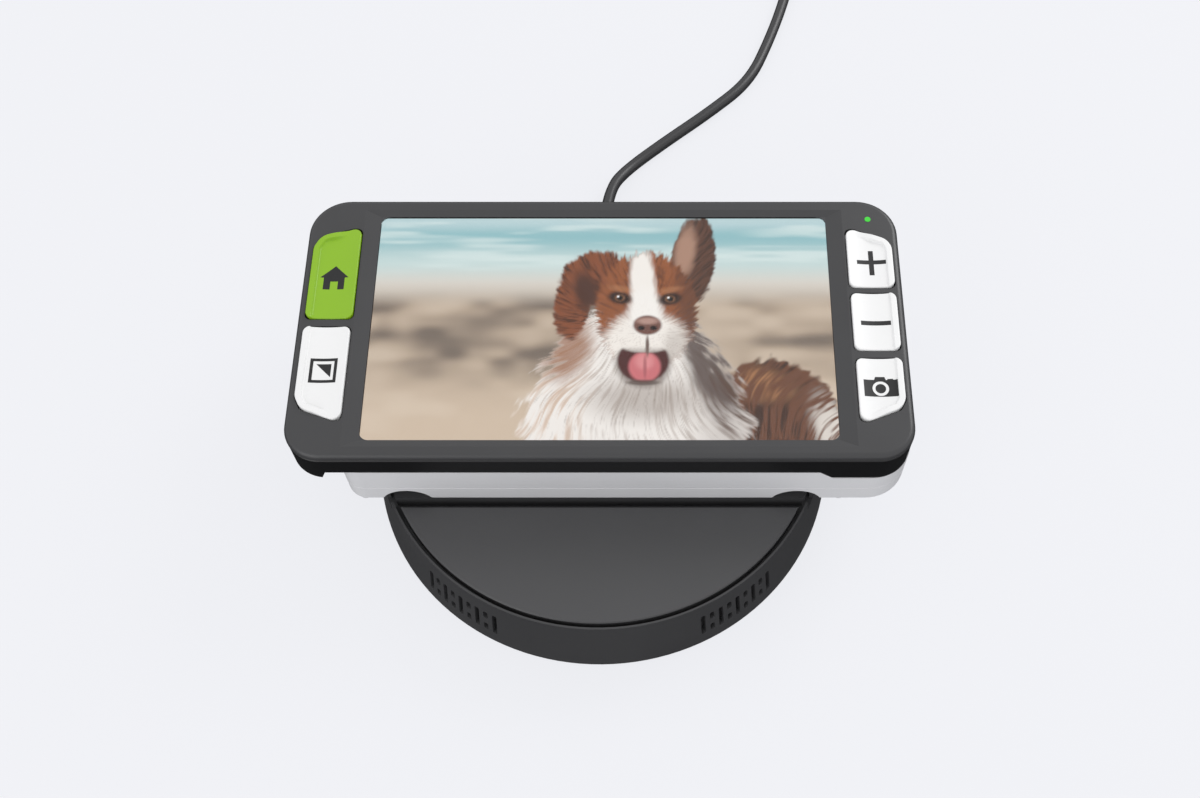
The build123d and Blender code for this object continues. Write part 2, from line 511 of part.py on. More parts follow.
cover_screw_solids = []
for x, y in cover_screws:
    screw = disc(2.4, COVER_BOTTOM_Z + 0.2, COVER_BOTTOM_Z + 1.4, x, y)
    screw += disc(1.2, COVER_BOTTOM_Z + 1.4, COVER_SEAM_Z, x, y)
    cover_screw_solids.append(screw - disc(1.0, 0, COVER_BOTTOM_Z + 0.8, x, y))
save_magnifier("cover_screws", group(cover_screw_solids))

# ---- camera, lamps, board and battery inside the rear housing -----------------------
BOARD_Z = 35.0
camera = disc(5.6, HOUSING_FLOOR_Z + 1.4, 41.0, CAMERA_X, CAMERA_Y)
camera += block(-9, 9, CAMERA_Y - 9, CAMERA_Y + 9, 41.0, 43.0)
save_magnifier("camera_module", camera)
save_magnifier("camera_lens", disc(4.2, HOUSING_FLOOR_Z, HOUSING_FLOOR_Z + 1.4, CAMERA_X, CAMERA_Y))
save_magnifier("camera_window", disc(7.0, COVER_SEAM_Z, HOUSING_FLOOR_Z, CAMERA_X, CAMERA_Y))
lamps, lamp_windows = [], []
for side in (-1, 1):
    x = CAMERA_X + side * LAMP_OFFSET
    lamps.append(block(x - 3, x + 3, CAMERA_Y - 3, CAMERA_Y + 3, HOUSING_FLOOR_Z, BOARD_Z))
    lamp_windows.append(disc(4.0, COVER_SEAM_Z, HOUSING_FLOOR_Z, x, CAMERA_Y))
save_magnifier("lamp_modules", group(lamps))
save_magnifier("lamp_windows", group(lamp_windows))
main_board = block(-66, 34, -20, 54, BOARD_Z, BOARD_Z + 1.4)
main_board -= disc(6.4, 0, 60, CAMERA_X, CAMERA_Y)
save_magnifier("main_board", main_board)
save_magnifier("battery_pack", rounded_block(-60, -14, -16, 50, BOARD_Z + 1.6, 41.4, 2))
save_magnifier("second_cell", rounded_block(38, 82, -16, 50, HOUSING_FLOOR_Z, 38.0, 2))

# ---- cord: plug, strain relief, tube, coil, tie and far plug ------------------------
cord_radius = CORD_DIAMETER / 2
PLUG_Y0, PLUG_Y1, RELIEF_Y1 = 69.95, 79.5, 90.5
save("dock_plug_shell", racetrack(*SHELL, SOCKET_MOUTH_Y - 6.2, PLUG_Y0, SOCKET_Z, 1.15))
overmould = racetrack(12.2, 6.4, PLUG_Y0, PLUG_Y1, SOCKET_Z, 2.6)
overmould = fillet(overmould.edges().group_by(Axis.Y)[-1], 1.0)
save("dock_plug", overmould)
relief_axis = Plane(origin=(0, PLUG_Y1, SOCKET_Z), x_dir=(1, 0, 0), z_dir=(0, 1, 0))
relief_end = Plane(origin=(0, RELIEF_Y1, SOCKET_Z), x_dir=(1, 0, 0), z_dir=(0, 1, 0))
save("dock_strain_relief", loft([relief_axis * Circle(2.9), relief_end * Circle(cord_radius)]))

FLOOR_Z = cord_radius
route = [
    (0.0, RELIEF_Y1, SOCKET_Z),
    (1.0, 100.5, 5.0),
    (6.6, 110.8, FLOOR_Z),
    (20.0, 123.0, FLOOR_Z),
    (34.8, 136.6, FLOOR_Z),
    (49.6, 151.2, FLOOR_Z),
    (57.6, 170.6, FLOOR_Z),
    (64.4, 191.0, FLOOR_Z),
    (69.6, 212.0, FLOOR_Z),
    (COIL_CENTRE[0] - COIL_MEAN_RADIUS - CORD_DIAMETER, 229.0, FLOOR_Z + TIE_THICKNESS),
]


def tube_path(points):
    """Straight runs joined by the largest even arcs, as a list of radii and the wire."""
    vectors = [Vector(*p) for p in points]
    radii = []
    for before, corner, after in zip(vectors, vectors[1:], vectors[2:]):
        turn = math.radians((corner - before).get_angle(after - corner))
        shorter = min((corner - before).length, (after - corner).length)
        radii.append(0.45 * shorter / math.tan(turn / 2))
    return radii, FilletPolyline(*points, radius=radii)


def tube(points):
    """A round cord along the path."""
    radii, path = tube_path(points)
    start = Vector(*points[0])
    section = Plane(origin=start, z_dir=Vector(*points[1]) - start) * Circle(cord_radius)
    solid = sweep(section, path=path)
    expected = math.pi * cord_radius**2 * path.length
    print("cord radii", [round(r, 1) for r in radii], "length", round(path.length, 1))
    print("cord volume", round(solid.volume, 1), "expected", round(expected, 1))
    return solid


save("cord_tube", tube(route))
coil_half = COIL_TURNS_ACROSS * cord_radius
coil_z0 = TIE_THICKNESS
coil_z1 = coil_z0 + 2 * CORD_DIAMETER
coil = turned([
    (COIL_MEAN_RADIUS - coil_half, coil_z0 + 1.4), (COIL_MEAN_RADIUS - coil_half + 1.4, coil_z0),
    (COIL_MEAN_RADIUS + coil_half - 1.4, coil_z0), (COIL_MEAN_RADIUS + coil_half, coil_z0 + 1.4),
    (COIL_MEAN_RADIUS + coil_half, coil_z1 - 1.4), (COIL_MEAN_RADIUS + coil_half - 1.4, coil_z1),
    (COIL_MEAN_RADIUS - coil_half + 1.4, coil_z1), (COIL_MEAN_RADIUS - coil_half, coil_z1 - 1.4),
])
save("cord_coil", Pos(*COIL_CENTRE, 0) * coil)
TIE_WIDTH, TIE_SLACK = 7.0, 0.5
tie_x = (COIL_CENTRE[0] + COIL_MEAN_RADIUS - coil_half, COIL_CENTRE[0] + COIL_MEAN_RADIUS + coil_half)
tie_y = (COIL_CENTRE[1] - TIE_WIDTH / 2, COIL_CENTRE[1] + TIE_WIDTH / 2)
tie_outer = block(tie_x[0] - TIE_SLACK - TIE_THICKNESS, tie_x[1] + TIE_SLACK + TIE_THICKNESS, *tie_y,
                  0, coil_z1 + TIE_SLACK + TIE_THICKNESS)
tie_outer = fillet(tie_outer.edges().filter_by(Axis.Y).group_by(Axis.Z)[-1], 1.2)
tie = tie_outer - block(tie_x[0] - TIE_SLACK, tie_x[1] + TIE_SLACK, tie_y[0] - 1, tie_y[1] + 1,
                        TIE_THICKNESS, coil_z1 + TIE_SLACK)
save("cord_tie", tie)

TAIL_START_Y = COIL_CENTRE[1] + 4.0
tail_x = COIL_CENTRE[0] - COIL_MEAN_RADIUS - coil_half - cord_radius
TAIL_Z = 3.6
tail = [
    (tail_x + 1.2, TAIL_START_Y, TAIL_Z),
    (tail_x - 0.2, TAIL_START_Y + 9.0, TAIL_Z),
    (tail_x - 0.6, TAIL_START_Y + 18.0, TAIL_Z),
]
save("cord_tail", tube(tail))
plug_x, plug_y = tail[-1][0], tail[-1][1]
FAR_RELIEF, FAR_PLUG, FAR_SHELL = 8.0, 17.0, 11.5
far_plane = Plane(origin=(plug_x, plug_y, TAIL_Z), x_dir=(1, 0, 0), z_dir=(0, 1, 0))
far_relief = loft([far_plane * Circle(cord_radius), far_plane * Pos(0, 0, FAR_RELIEF) * Circle(2.9)])
far_plug = extrude(far_plane * Pos(0, 0, FAR_RELIEF) * RectangleRounded(14.6, 7.2, 2.4), FAR_PLUG)
far_plug = fillet(far_plug.edges().group_by(Axis.Y)[0], 1.2)
far_shell = extrude(
    far_plane * Pos(0, 0, FAR_RELIEF + FAR_PLUG) * RectangleRounded(12.0, 4.5, 0.4), FAR_SHELL)
far_shell -= extrude(
    far_plane * Pos(0, 0, FAR_RELIEF + FAR_PLUG + 1.0) * RectangleRounded(11.2, 3.7, 0.3), FAR_SHELL)
far_tongue = extrude(
    far_plane * Pos(0, -0.95, FAR_RELIEF + FAR_PLUG + 1.0) * RectangleRounded(11.0, 1.7, 0.2), FAR_SHELL - 2.0)
save("charger_strain_relief", far_relief)
save("charger_plug", far_plug)
save("charger_plug_shell", far_shell)
save("charger_plug_tongue", far_tongue)
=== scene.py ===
# %% [markdown]
# A low vision magnifier on its charging dock
#
# The object is a handheld video magnifier: a wide screen with five large push buttons, lying on
# a round, heavy dock that charges it and plays its sound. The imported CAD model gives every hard
# part its true shape and place. This script adds what CAD leaves plain: the cord, the plug
# mouldings, the dished buttons with their symbols, the picture on the screen, and a finish for
# every surface. Everything is in metres, in the frame of the CAD model, with +Z up and the
# reader on the -Y side.

# %% Load the frame
import json
import math

import bmesh
import bpy
import numpy as np
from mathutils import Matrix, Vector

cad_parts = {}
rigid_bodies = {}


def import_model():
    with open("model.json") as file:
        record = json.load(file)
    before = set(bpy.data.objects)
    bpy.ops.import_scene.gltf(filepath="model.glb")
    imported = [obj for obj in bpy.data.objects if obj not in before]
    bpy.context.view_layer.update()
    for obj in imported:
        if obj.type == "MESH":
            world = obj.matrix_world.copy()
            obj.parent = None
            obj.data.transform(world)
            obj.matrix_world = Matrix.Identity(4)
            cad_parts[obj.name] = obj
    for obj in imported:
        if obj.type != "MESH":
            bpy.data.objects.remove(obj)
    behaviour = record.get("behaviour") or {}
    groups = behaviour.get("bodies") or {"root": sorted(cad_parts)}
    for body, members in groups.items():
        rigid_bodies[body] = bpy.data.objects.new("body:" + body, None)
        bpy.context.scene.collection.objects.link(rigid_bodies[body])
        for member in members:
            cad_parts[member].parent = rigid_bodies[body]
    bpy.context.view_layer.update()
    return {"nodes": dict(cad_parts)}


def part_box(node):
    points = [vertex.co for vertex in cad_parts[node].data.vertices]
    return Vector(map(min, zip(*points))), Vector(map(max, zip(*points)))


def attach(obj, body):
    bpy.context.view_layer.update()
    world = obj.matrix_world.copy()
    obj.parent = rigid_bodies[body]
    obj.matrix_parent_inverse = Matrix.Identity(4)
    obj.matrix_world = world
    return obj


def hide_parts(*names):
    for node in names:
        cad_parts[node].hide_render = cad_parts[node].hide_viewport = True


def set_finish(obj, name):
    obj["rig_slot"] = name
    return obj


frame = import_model()
nodes = frame["nodes"]
MM = 0.001  # most measures below are in millimetres

# %% [markdown]
# The camera stands in front of the reader's edge and looks steeply down, so it sees the whole
# screen and the front of the dock. The lens is slightly shifted instead of turned, as is usual
# for catalogue views, to place the object in the frame and keep its upright edges upright.

# %% Camera
CAMERA_PLACE = (0.0148, -0.2009, 0.3964)
CAMERA_TILT = math.radians(26.86)  # from straight down
SENSOR_WIDTH = 36.0
FOCAL_LENGTH = 42.06
CAMERA_SHIFT = (-0.0418, 0.0459)

lens = bpy.data.cameras.new("camera")
lens.sensor_width = SENSOR_WIDTH
lens.lens = FOCAL_LENGTH
lens.shift_x, lens.shift_y = CAMERA_SHIFT
lens.clip_start = 0.01
camera = bpy.data.objects.new("camera", lens)
camera.location = CAMERA_PLACE
camera.rotation_euler = (CAMERA_TILT, 0.0, 0.0)
bpy.context.scene.collection.objects.link(camera)
bpy.context.scene.camera = camera
bpy.context.scene.view_settings.view_transform = "Standard"
look_down = 90 - math.degrees(CAMERA_TILT)
print("camera at", CAMERA_PLACE, "looking", round(look_down, 1), "degrees down")

# %% [markdown]
# The cord is a round 4 mm power lead, a little over a metre long. It leaves the dock's plug at
# the back, sinks to the desk and wanders off in one loose double bend. The rest is wound up, as
# for storage: three turns across and two high, held by a strap, with the plug beside it. A curve
# object suits a cord, because its centreline is the thing to design and the round section comes
# from the bevel. The control points of the loose part are listed one by one, and a NURBS curve
# glides past them without a corner.

# %% The cord's route
CORD_DIAMETER = 4.0
LOOSE_ROUTE = [
    (0.0, 90.5, 6.5), (1.0, 100.5, 5.0), (6.6, 110.8, 2.0), (20.0, 123.0, 2.0),
    (35.6, 136.2, 2.0), (50.8, 150.8, 2.0), (58.8, 170.4, 2.0), (65.4, 190.8, 2.0),
    (70.2, 211.8, 2.0), (70.0, 229.0, 2.6),
]
TAIL_ROUTE = [
    (73.6, 227.6, 6.6), (68.6, 235.0, 6.4), (66.2, 246.0, 3.9), (65.6, 256.0, 3.6),
    (65.4, 265.0, 3.6),
]
COIL_CENTRE = (97.0, 243.0)
COIL_LAYERS = [(27.0, 2.6), (23.0, 2.6), (19.0, 2.6), (19.0, 6.6), (23.0, 6.6), (27.0, 6.6)]
POINTS_PER_TURN = 14
CROSSOVER = 0.15  # the last part of a turn, in which the cord steps across to the next


def coil_route():
    """Turns of a round coil, run clockwise from its left side. Radius and height are those of the
    turn, and in the last part of the turn they ease over to those of the next one. The radius
    is divided by the cosine of half a step, because the curve cuts inside its control points."""
    along = np.arange(POINTS_PER_TURN * len(COIL_LAYERS) - 2) / POINTS_PER_TURN
    turn = along.astype(int)
    layers = np.array(COIL_LAYERS + COIL_LAYERS[-1:])
    ease = np.clip((along - turn - 1 + CROSSOVER) / CROSSOVER, 0, 1)
    ease = (ease * ease * (3 - 2 * ease))[:, None]
    radius, height = ((1 - ease) * layers[turn] + ease * layers[turn + 1]).T
    radius = radius / math.cos(math.pi / POINTS_PER_TURN)
    angle = math.pi - 2 * math.pi * along
    x = COIL_CENTRE[0] + radius * np.cos(angle)
    y = COIL_CENTRE[1] + radius * np.sin(angle)
    return np.stack([x, y, height], 1)


cord_points = np.concatenate([LOOSE_ROUTE, coil_route(), TAIL_ROUTE]) * MM
print(len(cord_points), "control points")

# %% The cord as a curve
cord_curve = bpy.data.curves.new("power_cord", "CURVE")
cord_curve.dimensions = "3D"
spline = cord_curve.splines.new("NURBS")
spline.points.add(len(cord_points) - 1)
spline.points.foreach_set("co", np.c_[cord_points, np.ones(len(cord_points))].ravel())
# The radius is given at the points and the bevel is 1, so that the curve's box is the cord's.
spline.points.foreach_set("radius", np.full(len(cord_points), CORD_DIAMETER / 2 * MM))
spline.order_u = 3
spline.use_endpoint_u = True
cord_curve.resolution_u = 8
cord_curve.bevel_depth = 1.0
cord_curve.bevel_resolution = 3
cord_curve.use_fill_caps = True
power_cord = bpy.data.objects.new("power_cord", cord_curve)
bpy.context.scene.collection.objects.link(power_cord)
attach(power_cord, "dock")
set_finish(power_cord, "cord_jacket")
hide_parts("cord_tube", "cord_coil", "cord_tail")
print("power cord:", round(spline.calc_length(), 3), "m along its centreline")

# %% [markdown]
# Most added pieces are skins over a stack of closed rings: a plug's ring is a rounded oblong, a
# button's ring is its outline. Working a ring stack out with numpy gives full control over every
# shoulder and dish, and one helper turns any such stack into a closed mesh. A Blender beginner
# could also extrude and scale by hand, but a formula can be read and changed later.


# %% A skin over a stack of rings
def add_mesh(name, points, faces, body, slot, replaced=()):
    """Puts millimetre points and faces into a smooth-shaded piece that rides on a body. Faces are
    turned round if the volume they enclose, a sum of triple products, comes out negative."""
    mesh = bpy.data.meshes.new(name)
    mesh.from_pydata(np.asarray(points) * MM, [], faces)
    mesh.validate()
    mesh.calc_loop_triangles()
    corners = np.zeros(len(mesh.loop_triangles) * 3, int)
    mesh.loop_triangles.foreach_get("vertices", corners)
    a, b, c = np.moveaxis(np.asarray(points)[corners.reshape(-1, 3)], 1, 0)
    if np.einsum("ij,ij->i", a, np.cross(b, c)).sum() < 0:
        mesh.flip_normals()
    mesh.shade_smooth()
    mesh.set_sharp_from_angle(angle=math.radians(35))
    piece = bpy.data.objects.new(name, mesh)
    bpy.context.scene.collection.objects.link(piece)
    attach(piece, body)
    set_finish(piece, slot)
    if replaced:
        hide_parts(*replaced)
    return piece


def ring_skin(rings):
    """Points and faces of a closed skin. Rings have the shape (rows, points, 3): quads join each
    ring to the next, and a fan round its middle point closes the first and the last."""
    rows, around = rings.shape[:2]
    index = np.arange(rows * around).reshape(rows, around)
    turned = np.roll(index, -1, axis=1)
    quads = np.stack([index[:-1], turned[:-1], turned[1:], index[1:]], -1).reshape(-1, 4)
    ends = [rings[0].mean(0), rings[-1].mean(0)]
    first = np.stack([turned[0], index[0], np.full(around, rows * around)], -1)
    last = np.stack([index[-1], turned[-1], np.full(around, rows * around + 1)], -1)
    faces = quads.tolist() + first.tolist() + last.tolist()
    return np.concatenate([rings.reshape(-1, 3), ends]), faces


# %% [markdown]
# The two plugs and the strain reliefs are overmoulded on the cord in one soft black plastic. A
# plug body is a rounded oblong that swells behind its metal shell, with shallow finger grooves
# across both broad sides. A strain relief is a cone cut by slots, which lets the cord bend in a
# slow curve. All four are rings along the plug's axis, which is the Y direction here.


# %% Plug bodies and strain reliefs
AROUND = 48
SQUARENESS = 4.0  # exponent of the rounded oblong; 2 would be an ellipse
GRIP_LIP, GRIP_BACK = 0.08, 0.86  # shares of the grip's length: end of the swell, start of the back
GROOVES_START, GROOVES_SPAN, GROOVE_COUNT, GROOVE_DEPTH = 0.24, 0.44, 4, 0.22
RELIEF_RADIUS, RELIEF_TAPER = 2.9, 0.8
RELIEF_SLOTS, RELIEF_SLOT_DEPTH = 4.5, 0.55


def oblong_rings(centre_x, y, centre_z, half_width, half_height, squareness):
    """A superellipse at every y: x and z are the half sizes times the cosine and sine, each drawn
    towards 1 by the power 2 / squareness."""
    angle = 2 * np.pi * np.arange(AROUND) / AROUND
    across = np.sign(np.cos(angle)) * np.abs(np.cos(angle)) ** (2 / squareness)
    upward = np.sign(np.sin(angle)) * np.abs(np.sin(angle)) ** (2 / squareness)
    x = centre_x + half_width[:, None] * across
    z = centre_z + half_height[:, None] * upward
    return np.stack([x, np.broadcast_to(y[:, None], x.shape), z], -1)


def plug_body(name, shell_end):
    """The moulded grip. Its half sizes rise from the shell end along a quarter circle, shrink a
    little towards the cord and round off there; the finger grooves are four cosine dips. The
    rings lie closest together at the two ends, where the shape turns fastest."""
    low, high = (np.array(corner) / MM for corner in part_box(name))
    swell = GRIP_LIP * (1 - np.cos(np.linspace(0.1, np.pi / 2, 8)))
    back = GRIP_BACK + (1 - GRIP_BACK) * np.sin(np.linspace(0.15, np.pi / 2, 10))
    share = np.concatenate([[0], swell, np.linspace(0.1, GRIP_BACK, 60), back])
    rounding = np.sqrt(1 - (1 - np.clip(share / GRIP_LIP, 0, 1)) ** 2) * 0.12 + 0.88
    shoulder = 1 - 0.35 * np.clip((share - 0.78) / 0.22, 0, 1) ** 2
    groove = np.clip((share - GROOVES_START) / GROOVES_SPAN, 0, 1) * GROOVE_COUNT
    wave = 0.5 - 0.5 * np.cos(2 * np.pi * groove)
    middle, half = (low + high) / 2, (high - low) / 2
    y = low[1] + share * (high[1] - low[1])
    if shell_end == "rear":
        y = high[1] - share * (high[1] - low[1])
    width = half[0] * rounding * shoulder
    height = half[2] * rounding * shoulder - GROOVE_DEPTH * wave
    rings = oblong_rings(middle[0], y, middle[2], width, height, SQUARENESS)
    return add_mesh(name + "_grip", *ring_skin(rings), "dock", "black_nylon", [name])


def strain_relief(name, thick_end):
    """A cone along Y whose radius falls evenly from the plug to the cord, with ring-shaped slots:
    the radius drops wherever a square wave with softened sides is high."""
    low, high = (np.array(corner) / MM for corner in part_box(name))
    share = np.linspace(0, 1, 90)
    y = low[1] + share * (high[1] - low[1])
    along = share if thick_end == "front" else 1 - share
    radius = RELIEF_RADIUS - RELIEF_TAPER * along
    slot = 1 / (1 + np.exp(-14 * (np.cos(2 * np.pi * along * RELIEF_SLOTS) - 0.25)))
    whole_ends = np.clip(along / 0.1, 0, 1) * np.clip((1 - along) / 0.08, 0, 1)
    radius -= RELIEF_SLOT_DEPTH * slot * whole_ends
    middle = (low + high) / 2
    rings = oblong_rings(middle[0], y, middle[2], radius, radius, 2.0)
    return add_mesh(name + "_sleeve", *ring_skin(rings), "dock", "black_nylon", [name])


dock_grip = plug_body("dock_plug", "front")
charger_grip = plug_body("charger_plug", "rear")
dock_sleeve = strain_relief("dock_strain_relief", "front")
charger_sleeve = strain_relief("charger_strain_relief", "rear")
print("plug grip:", [round(v * 1000, 1) for v in dock_grip.dimensions], "mm")

# %% [markdown]
# The coil is held by a hook-and-loop strap: a woven band 7 mm wide that goes once round the
# bundle and presses on itself. It is a flat ring section carried along a rounded square path
# that grows by one band thickness where the end lies over the start.

# %% Cord strap
tie_low, tie_high = (np.array(corner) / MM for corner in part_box("cord_tie"))
tie_middle = (tie_low + tie_high) / 2
BAND_THICKNESS, BAND_WIDTH = 0.6, 7.0
STRAP_TURNS, STRAP_START = 1.12, -0.1
OVERLAP_LIFT = 0.62  # one thickness and a hair, so that the two ends don't touch


def strap_rings():
    """The path's angle runs 1.12 turns round the bundle. Its half sizes are those of the CAD loop
    less the band, plus one thickness that eases in over the last eighth of a turn; the section
    is a superellipse, flat and as wide as the band."""
    angle = np.linspace(STRAP_START, 2 * np.pi * STRAP_TURNS + STRAP_START, 200)
    lift = OVERLAP_LIFT * (np.clip((angle - 2 * np.pi + 0.45) / 0.35, 0, 1) - 0.5)
    reach = (tie_high - tie_low) / 2 - BAND_THICKNESS / 2 - OVERLAP_LIFT / 2
    x = np.sign(np.cos(angle)) * np.abs(np.cos(angle)) ** 0.5 * (reach[0] + lift)
    z = np.sign(np.sin(angle)) * np.abs(np.sin(angle)) ** 0.5 * (reach[2] + lift)
    path = np.stack([x, z], 1)
    out = np.stack([np.gradient(z), -np.gradient(x)], 1)
    out /= np.linalg.norm(out, axis=1, keepdims=True)
    turn = 2 * np.pi * np.arange(20) / 20
    wide = np.sign(np.cos(turn)) * np.abs(np.cos(turn)) ** 0.4 * BAND_WIDTH / 2
    thick = np.sign(np.sin(turn)) * np.abs(np.sin(turn)) ** 0.6 * BAND_THICKNESS / 2
    section = path[:, None, :] + out[:, None, :] * thick[None, :, None]
    y = np.broadcast_to(tie_middle[1] + wide, section.shape[:2])
    return np.stack([tie_middle[0] + section[..., 0], y, tie_middle[2] + section[..., 1]], -1)


cord_strap = add_mesh(
    "cord_strap", *ring_skin(strap_rings()), "dock", "speaker_cloth", ["cord_tie"])
print("strap:", [round(v * 1000, 1) for v in cord_strap.dimensions], "mm")

# %% [markdown]
# The five buttons are moulded caps. The thumb finds them by touch: each top is dished across its
# width, and a raised rim runs along the outer side and the slanted end. The outline follows the
# CAD outline and is given by its corners and their radii. The cap is a stack of rings: from the
# flange under the bezel, up the wall, over a rounded edge, and inwards across the top, where the
# height of every point comes from one formula.


# %% Button outlines
def inset_corners(corners, inset):
    """Moves every side of a convex outline inwards and meets neighbouring sides again. A corner
    moves along the sum of its two inward normals, divided by 1 plus the cosine between them."""
    before, after = np.roll(corners, 1, 0), np.roll(corners, -1, 0)
    first = (corners - before) / np.linalg.norm(corners - before, axis=1, keepdims=True)
    second = (after - corners) / np.linalg.norm(after - corners, axis=1, keepdims=True)
    first, second = (np.stack([-side[:, 1], side[:, 0]], 1) for side in (first, second))
    share = 1 + np.einsum("ij,ij->i", first, second)
    return corners + inset * (first + second) / share[:, None]


def rounded_outline(corners, radii, arc_points=10, side_points=12):
    """A convex outline, run anticlockwise, with every corner replaced by an arc that touches both
    sides. The arc's centre lies inwards by its radius from both, so it is an inset corner."""
    before = np.roll(corners, 1, 0)
    heading = np.arctan2(*(corners - before).T[::-1])
    turn = (np.roll(heading, -1) - heading) % (2 * np.pi)
    steps = np.linspace(0, 1, arc_points)
    angle = heading[:, None] - np.pi / 2 + turn[:, None] * steps
    centre = corners + (inset_corners(corners, 1.0) - corners) * radii[:, None]
    arc = centre[:, None] + radii[:, None, None] * np.stack([np.cos(angle), np.sin(angle)], -1)
    gap = np.linspace(0, 1, side_points + 2)[1:-1, None]
    side = arc[:, -1, None] + (np.roll(arc[:, 0], -1, 0) - arc[:, -1])[:, None] * gap
    return np.concatenate([arc, side], 1).reshape(-1, 2)


MAGNIFIER_X = 0.7  # the magnifier's middle, from which the outlines below are measured
BUTTONS = {  # corners in plan, anticlockwise, and their radii
    "home_button": (
        [(-86.0, 17.8), (-72.2, 17.8), (-72.2, 50.1), (-83.9, 46.7), (-86.0, 42.7)],
        [2.2, 2.0, 2.4, 5.0, 5.0],
    ),
    "mode_button": (
        [(-86.0, 15.0), (-86.0, -8.3), (-84.1, -12.1), (-72.4, -16.4), (-72.4, 15.0)],
        [2.2, 5.0, 5.0, 2.4, 2.0],
    ),
    "zoom_in_button": (
        [(72.6, 28.6), (86.0, 28.6), (86.0, 42.6), (84.6, 45.4), (72.6, 50.2)],
        [2.0, 2.2, 4.5, 4.5, 2.4],
    ),
    "zoom_out_button": (
        [(72.7, 7.1), (86.0, 7.1), (86.0, 26.5), (72.7, 26.5)],
        [2.0, 2.2, 2.2, 2.0],
    ),
    "capture_button": (
        [(72.8, 4.4), (72.8, -16.8), (84.4, -12.2), (86.0, -9.2), (86.0, 4.4)],
        [2.0, 2.4, 5.0, 5.0, 2.2],
    ),
}
for name, (corners, radii) in BUTTONS.items():
    print(name, "has", len(corners), "corners in plan, rounded by up to", max(radii), "mm")

# %% Button tops
TOP_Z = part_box("home_button")[1].z / MM
FLANGE_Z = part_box("home_button")[0].z / MM
WALL_FOOT_Z, FLANGE_TOP_Z = 50.1, 48.9
SKIRT_X, FLANGE_WIDTH = 85.1, 0.8
DISH_DEPTH, DISH_FALL = 0.6, 0.5
EDGE_ROUNDING = 0.4
RIM_WIDTH, RIM_STEP_WIDTH = 2.2, 0.5


def smooth(value, start, end):
    """0 before start, 1 past end, and the cubic 3t^2 - 2t^3 between them."""
    share = np.clip((value - start) / (end - start), 0, 1)
    return share * share * (3 - 2 * share)


def side_distance(points, a, b):
    """How far points lie to the left of the line from a to b."""
    along = (b - a) / np.linalg.norm(b - a)
    return (points[..., 1] - a[1]) * along[0] - (points[..., 0] - a[0]) * along[1]


def button_height(name, points):
    """Height of the top at plan points. Across the width the face falls from the inner edge by a
    gentle slope and a parabola; within the rim's width of an outer side, or of a slanted side
    away from its inner end, it rises in a soft step to the full height."""
    corners = np.array(BUTTONS[name][0])
    inner, outer = np.abs(corners[:, 0]).min(), np.abs(corners[:, 0]).max()
    reach = np.abs(points[..., 0])
    share = np.clip((reach - inner) / (outer - inner - RIM_WIDTH), 0, 1)
    face = TOP_Z - 0.1 - DISH_FALL * share - DISH_DEPTH * 4 * share * (1 - share)
    rim = np.zeros(points.shape[:-1])
    for a, b in zip(corners, np.roll(corners, -1, 0)):
        if abs(a[1] - b[1]) > 1 and max(abs(a[0]), abs(b[0])) > inner + 1:  # outer or slanted
            near = 1 - smooth(side_distance(points, a, b), RIM_WIDTH - RIM_STEP_WIDTH, RIM_WIDTH)
            fade = smooth(reach, inner + 3.0, inner + 8.5)
            rim = np.maximum(rim, near * fade)
    return face + (TOP_Z - face) * rim


# %% Button caps
def button_rings(name):
    """The stack of rings, from the bottom of the flange to the middle of the top."""
    corners, radii = (np.array(values) for values in BUTTONS[name])

    def plan(inset):
        return rounded_outline(inset_corners(corners, inset), np.maximum(radii - inset, 0.3))

    def under_bezel(inset, z):  # a ring that keeps inside the middle frame's wall
        outline = plan(inset)
        outline[:, 0] = np.clip(outline[:, 0], -SKIRT_X, SKIRT_X)
        return np.c_[outline, np.full(len(outline), z)]

    rings = [
        under_bezel(-FLANGE_WIDTH, FLANGE_Z), under_bezel(-FLANGE_WIDTH, FLANGE_TOP_Z),
        under_bezel(0, FLANGE_TOP_Z), under_bezel(0, WALL_FOOT_Z - 0.01),
        np.c_[plan(0), np.full(len(plan(0)), WALL_FOOT_Z)],
    ]
    for turn in np.linspace(0, np.pi / 2, 7):
        inset = EDGE_ROUNDING * (1 - np.cos(turn))
        outline = plan(inset)
        drop = EDGE_ROUNDING * (1 - np.sin(turn))
        rings.append(np.c_[outline, button_height(name, outline) - drop])
    for inset in np.linspace(EDGE_ROUNDING, RIM_WIDTH, 12)[1:]:
        outline = plan(inset)
        rings.append(np.c_[outline, button_height(name, outline)])
    last = plan(RIM_WIDTH)
    centre = last.mean(0)
    for share in np.linspace(0, 0.97, 24)[1:]:
        outline = last + share * (centre - last)
        rings.append(np.c_[outline, button_height(name, outline)])
    return np.array(rings) + [MAGNIFIER_X, 0, 0]


for name in BUTTONS:
    button_slot = "button_green" if name == "home_button" else "button_white"
    cap = add_mesh(name + "_cap", *ring_skin(button_rings(name)), name, button_slot, [name])
    print(cap.name, [round(v * 1000, 2) for v in cap.dimensions], "mm")

# %% [markdown]
# The symbols are moulded into the caps as dark inlays, so they never wear off. Each is drawn as a
# flat filled curve, because Blender fills outlines with holes in them by itself. The flat shape
# is then cut into narrow strips across X and laid on the dished top.


# %% Symbols on the buttons
INLAY_DEPTH, INLAY_PROUD = 0.25, 0.03
STRIP = 0.5


def circle(x, y, radius, count=40):
    """A ring of points round (x, y)."""
    angle = 2 * np.pi * np.arange(count) / count
    return np.stack([x + radius * np.cos(angle), y + radius * np.sin(angle)], 1)


